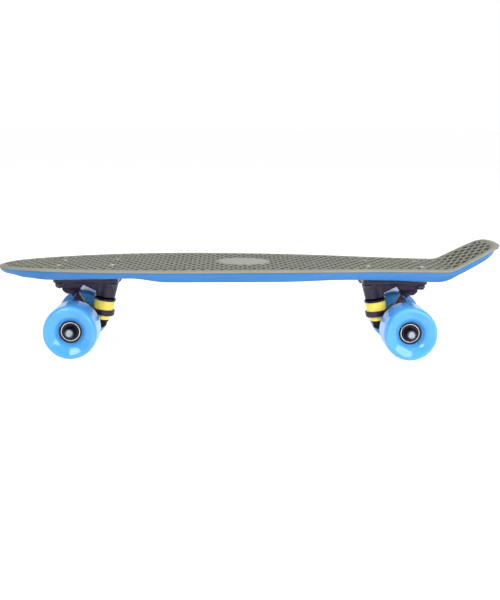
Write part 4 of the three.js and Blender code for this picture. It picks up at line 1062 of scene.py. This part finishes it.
# heights in these tables run outwards from the wheel's middle; tyre: tread, shoulder, face and slope to the core
wheel = {
    "centreY": 51.0, "height": 30.0, "segments": 112, "wornTo": 12.5, "newFrom": 17.0,
    "tyre": [(30.0, 0.0), (30.0, 8.0), (30.0, 13.5), (29.86, 16.2), (29.4, 18.6), (28.55, 20.7), (27.5, 22.0),
             (26.2, 22.5), (24.6, 22.15), (22.4, 21.1), (20.2, 20.0), (18.2, 18.9), (16.4, 17.6), (14.9, 15.9),
             (13.6, 14.0), (12.75, 12.8)],
    "core": [(10.6, 12.8, 0.3), (12.7, 12.8, 0.3), (12.9, 8.0, 0), (15.0, 0, 0), (12.9, -8.0, 0),
             (12.7, -12.8, 0.3), (10.6, -12.8, 0.3), (10.6, -12.1, 0), (11.1, -12.1, 0), (11.1, -4.9, 0),
             (8.5, -4.9, 0), (8.5, 4.9, 0), (11.1, 4.9, 0), (11.1, 12.1, 0), (10.6, 12.1, 0)],
}
# about the middle of the bearing, which is 8.5 mm from the wheel's
bearing = {
    "middle": 8.5,
    "outerRace": [(9.75, -3.5, 0.1), (11, -3.5, 0.45), (11, 3.5, 0.45), (9.75, 3.5, 0.1)],
    "innerRace": [(4.0, -3.5, 0.3), (5.7, -3.5, 0.15), (5.7, 3.5, 0.15), (4.0, 3.5, 0.3)],
    "seal": [(5.75, -3.0, 0.1), (7.2, -3.25, 0.2), (9.3, -3.2, 0.2), (9.7, -3.0, 0.1),
             (9.7, 3.0, 0.1), (9.3, 3.2, 0.2), (7.2, 3.25, 0.2), (5.75, 3.0, 0.1)],
}


# turns local +Z to the outside of a wheel on one side
def wheelPlace(end, side):
    sign = -1 if side == "left" else 1
    place = Matrix.Translation((axleX[end], sign * wheel["centreY"], wheel["height"]))
    return place @ Matrix.Rotation(-sign * math.pi / 2, 4, "X")


def makeTyre(name, place):
    outward = curveThrough(wheel["tyre"], 4)
    profile = [(r, -z) for r, z in reversed(outward[1:])] + outward
    obj = makeObject(name, *turned(profile, wheel["segments"], place, True), finish["wheel"], 60)
    # how much a point lies on the tread, kept for its wear
    back, tread = place.inverted(), obj.data.attributes.new("treadWear", "FLOAT", "POINT")
    for vertex in obj.data.vertices:
        out = abs((back @ (vertex.co / mm)).z)
        tread.data[vertex.index].value = 1 - smoothStep(out, wheel["wornTo"], wheel["newFrom"])
    return obj


def makeWheel(end, side):
    place, name = wheelPlace(end, side), f"{end}_{side}"
    rider = f"{name}_wheel"
    rideOn(makeTyre(f"{name}_tyre_cast", place), rider, "wheel_blue", f"{name}_tyre")
    core = makeObject(f"{name}_core_moulded", *turnedRing(wheel["core"], 3, 80, place), finish["core"], 40)
    rideOn(core, rider, "black_plastic", f"{name}_wheel_core")
    for part, middle in (("outer_bearing", bearing["middle"]), ("inner_bearing", -bearing["middle"])):
        outer, inner, seal = [
            turnedRing([(r, middle + z, soft) for r, z, soft in bearing[key]], steps, count, place)
            for key, steps, count in (("outerRace", 3, 80), ("innerRace", 3, 56), ("seal", 2, 64))]
        races = makeObject(f"{name}_{part}_races", *joined([outer, inner]), finish["race"], 40)
        seals = makeObject(f"{name}_{part}_seal", *seal, finish["seal"], 40)
        for obj in (races, seals):
            rideOn(obj, rider, "black_steel", f"{name}_{part}")


for end in axleX:
    for side in ("left", "right"):
        makeWheel(end, side)

print("stage: axles, nuts, bolts and washers by geometry nodes")

bolt = {"headWidth": 8.4, "headHeight": 1.7, "shank": 4.8, "tip": -26.5, "proud": 0.55, "firstTurn": 0.4,
        "nextTurn": 1.3, "slotHalf": 2.3, "slotWide": 0.42, "slotFloor": 0.7,
        "pad": [(0, -1.4, 0), (5.6, -1.4, 0), (5.6, 0.02, 0.3), (0, 0.02, 0)]}
lockNut = {"width": 9.5, "height": 3.9, "bore": 2.45, "collar": 1.1, "top": 77.4, "firstTurn": 0.25,
           "nextTurn": 0.9}
axle = {"radius": 3.97, "end": 74.0, "nutFrom": 64.3, "nutWidth": 12.7, "nutHeight": 6.6, "nutBore": 3.99,
        "nutCollar": 1.8, "insert": [(3.99, 8.1, 0), (5.0, 8.1, 0), (5.0, 8.42, 0.1), (3.99, 8.42, 0.1)],
        "washer": [(4.05, 0, 0.1), (7.4, 0, 0.2), (7.4, 0.9, 0.2), (4.05, 0.9, 0.1)], "washerFrom": (38.05, 63.05)}


# one copy of a shape on each vertex, turned by the attribute "facing"
def placingTree():
    tree, ask, end = startTree("placed_fasteners", {"Shape": "Object", "Material": "Material"})
    shape = addNode(tree, "GeometryNodeObjectInfo", {0: ask["Shape"]}).outputs["Geometry"]
    facing = addNode(tree, "GeometryNodeInputNamedAttribute", {"Name": "facing"},
                     {"data_type": "FLOAT_VECTOR"}).outputs[0]
    turn = addNode(tree, "FunctionNodeEulerToRotation", {0: facing}).outputs[0]
    copies = addNode(tree, "GeometryNodeInstanceOnPoints", {"Points": ask["Geometry"], "Instance": shape,
                                                            "Rotation": turn}).outputs[0]
    return endTree(tree, end, copies, ask["Material"])


fastenerTree = placingTree()


# copies a shape to places (x, y, z in millimetres, then its three turns), as one mesh
def placeCopies(name, shape, places, paint, crease=35):
    mould = makeObject(name + "_mould", *shape, finish[paint], crease)
    mesh = bpy.data.meshes.new(name)
    mesh.from_pydata([Vector(p[:3]) * mm for p in places], [], [])
    facing = mesh.attributes.new("facing", "FLOAT_VECTOR", "POINT")
    for value, p in zip(facing.data, places):
        value.vector = p[3:]
    obj = runTree(addObject(name, mesh), fastenerTree, {"Shape": mould, "Material": finish[paint]}, crease)
    dropObject(mould)
    return obj


# domed bolt head with a cross recess cut in it, and its threaded shank
def boltShape():
    head, tall, shank, tip = bolt["headWidth"] / 2, bolt["headHeight"], bolt["shank"] / 2, bolt["tip"]
    dome = [(head, 0.0), (head, tall * 0.16), (head * 0.93, tall * 0.43), (head * 0.75, tall * 0.73),
            (head * 0.45, tall * 0.93), (0, tall)]
    profile = [(0, tip), (shank - 0.5, tip), *threadProfile(shank, tip + 0.4, tip + 10.5, 0.8, 0.35),
               (shank, tip + 10.9), (shank, 0), *dome]
    obj = makeObject("bolt_head", *turned(profile, 28), finish["zinc"])
    half, wide = bolt["slotHalf"], bolt["slotWide"]
    bar = [Vector(p) for p in ((-half, -wide), (half, -wide), (half, wide), (-half, wide))]
    for turn in (0, math.pi / 2):
        tool = raised(bar, bolt["slotFloor"], 4.0, Matrix.Rotation(turn, 4, "Z"))
        cutWith(obj, makeObject("bolt_slot", *tool, finish["zinc"]))
    return takeShape(obj)


def makeMountingBolts():
    spots = [truckPlaces[end] @ Vector((x, y, 0)) for end in axleX for x, y in boltSpots()]
    tops = [(p.x, p.y, surfaceHeight(p.x) + bolt["proud"]) for p in spots]
    pad = turned(rounded(bolt["pad"], 3, False), 32)
    pads = placeCopies("bolt_pads", pad, [(*p, 0, 0, 0) for p in tops], "deckTop")
    rideOn(pads, "board", "deck_grey", "deck_top")
    turns = [bolt["firstTurn"] + bolt["nextTurn"] * i for i in range(len(spots))]
    bolts = placeCopies("mounting_bolts", boltShape(), [(*p, 0, 0, turn) for p, turn in zip(tops, turns)], "zinc")
    rideOn(bolts, "board", "bright_steel", *[f"{end}_bolt_{i}" for end in axleX for i in range(1, 5)])
    nut = hexNut(lockNut["width"], lockNut["height"], lockNut["bore"], Matrix.Rotation(math.pi, 4, "X"),
                 lockNut["collar"], 36)
    nuts = placeCopies("mounting_lock_nuts", nut, [
        (p.x, p.y, lockNut["top"], 0, 0, lockNut["firstTurn"] + lockNut["nextTurn"] * i)
        for i, p in enumerate(spots)], "nutGrey", 30)
    rideOn(nuts, "board", "black_steel", *[f"{end}_lock_nut_{i}" for end in axleX for i in range(1, 5)])


def makeAxle(end):
    x, z, rider = axleX[end], wheel["height"], f"{end}_hanger"
    # on both sides, facing outwards
    outside = lambda *ys: [(x, sign * y, z, -sign * math.pi / 2, 0, 0) for sign in (-1, 1) for y in ys]
    nut = hexNut(axle["nutWidth"], axle["nutHeight"], axle["nutBore"], Matrix(), axle["nutCollar"])
    nuts = placeCopies(f"{end}_axle_lock_nuts", nut, outside(axle["nutFrom"]), "blackSteel", 30)
    rideOn(nuts, rider, "black_steel", f"{end}_left_axle_nut", f"{end}_right_axle_nut")
    insert, washer = turnedRing(axle["insert"], 2, 40), turnedRing(axle["washer"], 2, 40)
    inserts = placeCopies(f"{end}_axle_nut_inserts", insert, outside(axle["nutFrom"]), "insert")
    rideOn(inserts, rider, "black_plastic")
    washers = placeCopies(f"{end}_speed_washers", washer, outside(*axle["washerFrom"]), "blackSteel")
    rideOn(washers, rider, "black_steel")
    radius, tip = axle["radius"], axle["end"]
    half = [(radius, tip - 14.3), *threadProfile(radius, tip - 14.0, tip - 1.4, 1.06, 0.4), (3.9, tip - 1.0),
            (3.2, tip - 0.1), (0.0, tip)]
    rod = turned([(r, -y) for r, y in reversed(half)] + half, 40, acrossAt(x, z))
    rideOn(makeObject(f"{end}_axle_rod", *rod, finish["axle"], 40), rider, "axle_steel", f"{end}_axle")


makeMountingBolts()
for end in axleX:
    makeAxle(end)

print("stage: finish")
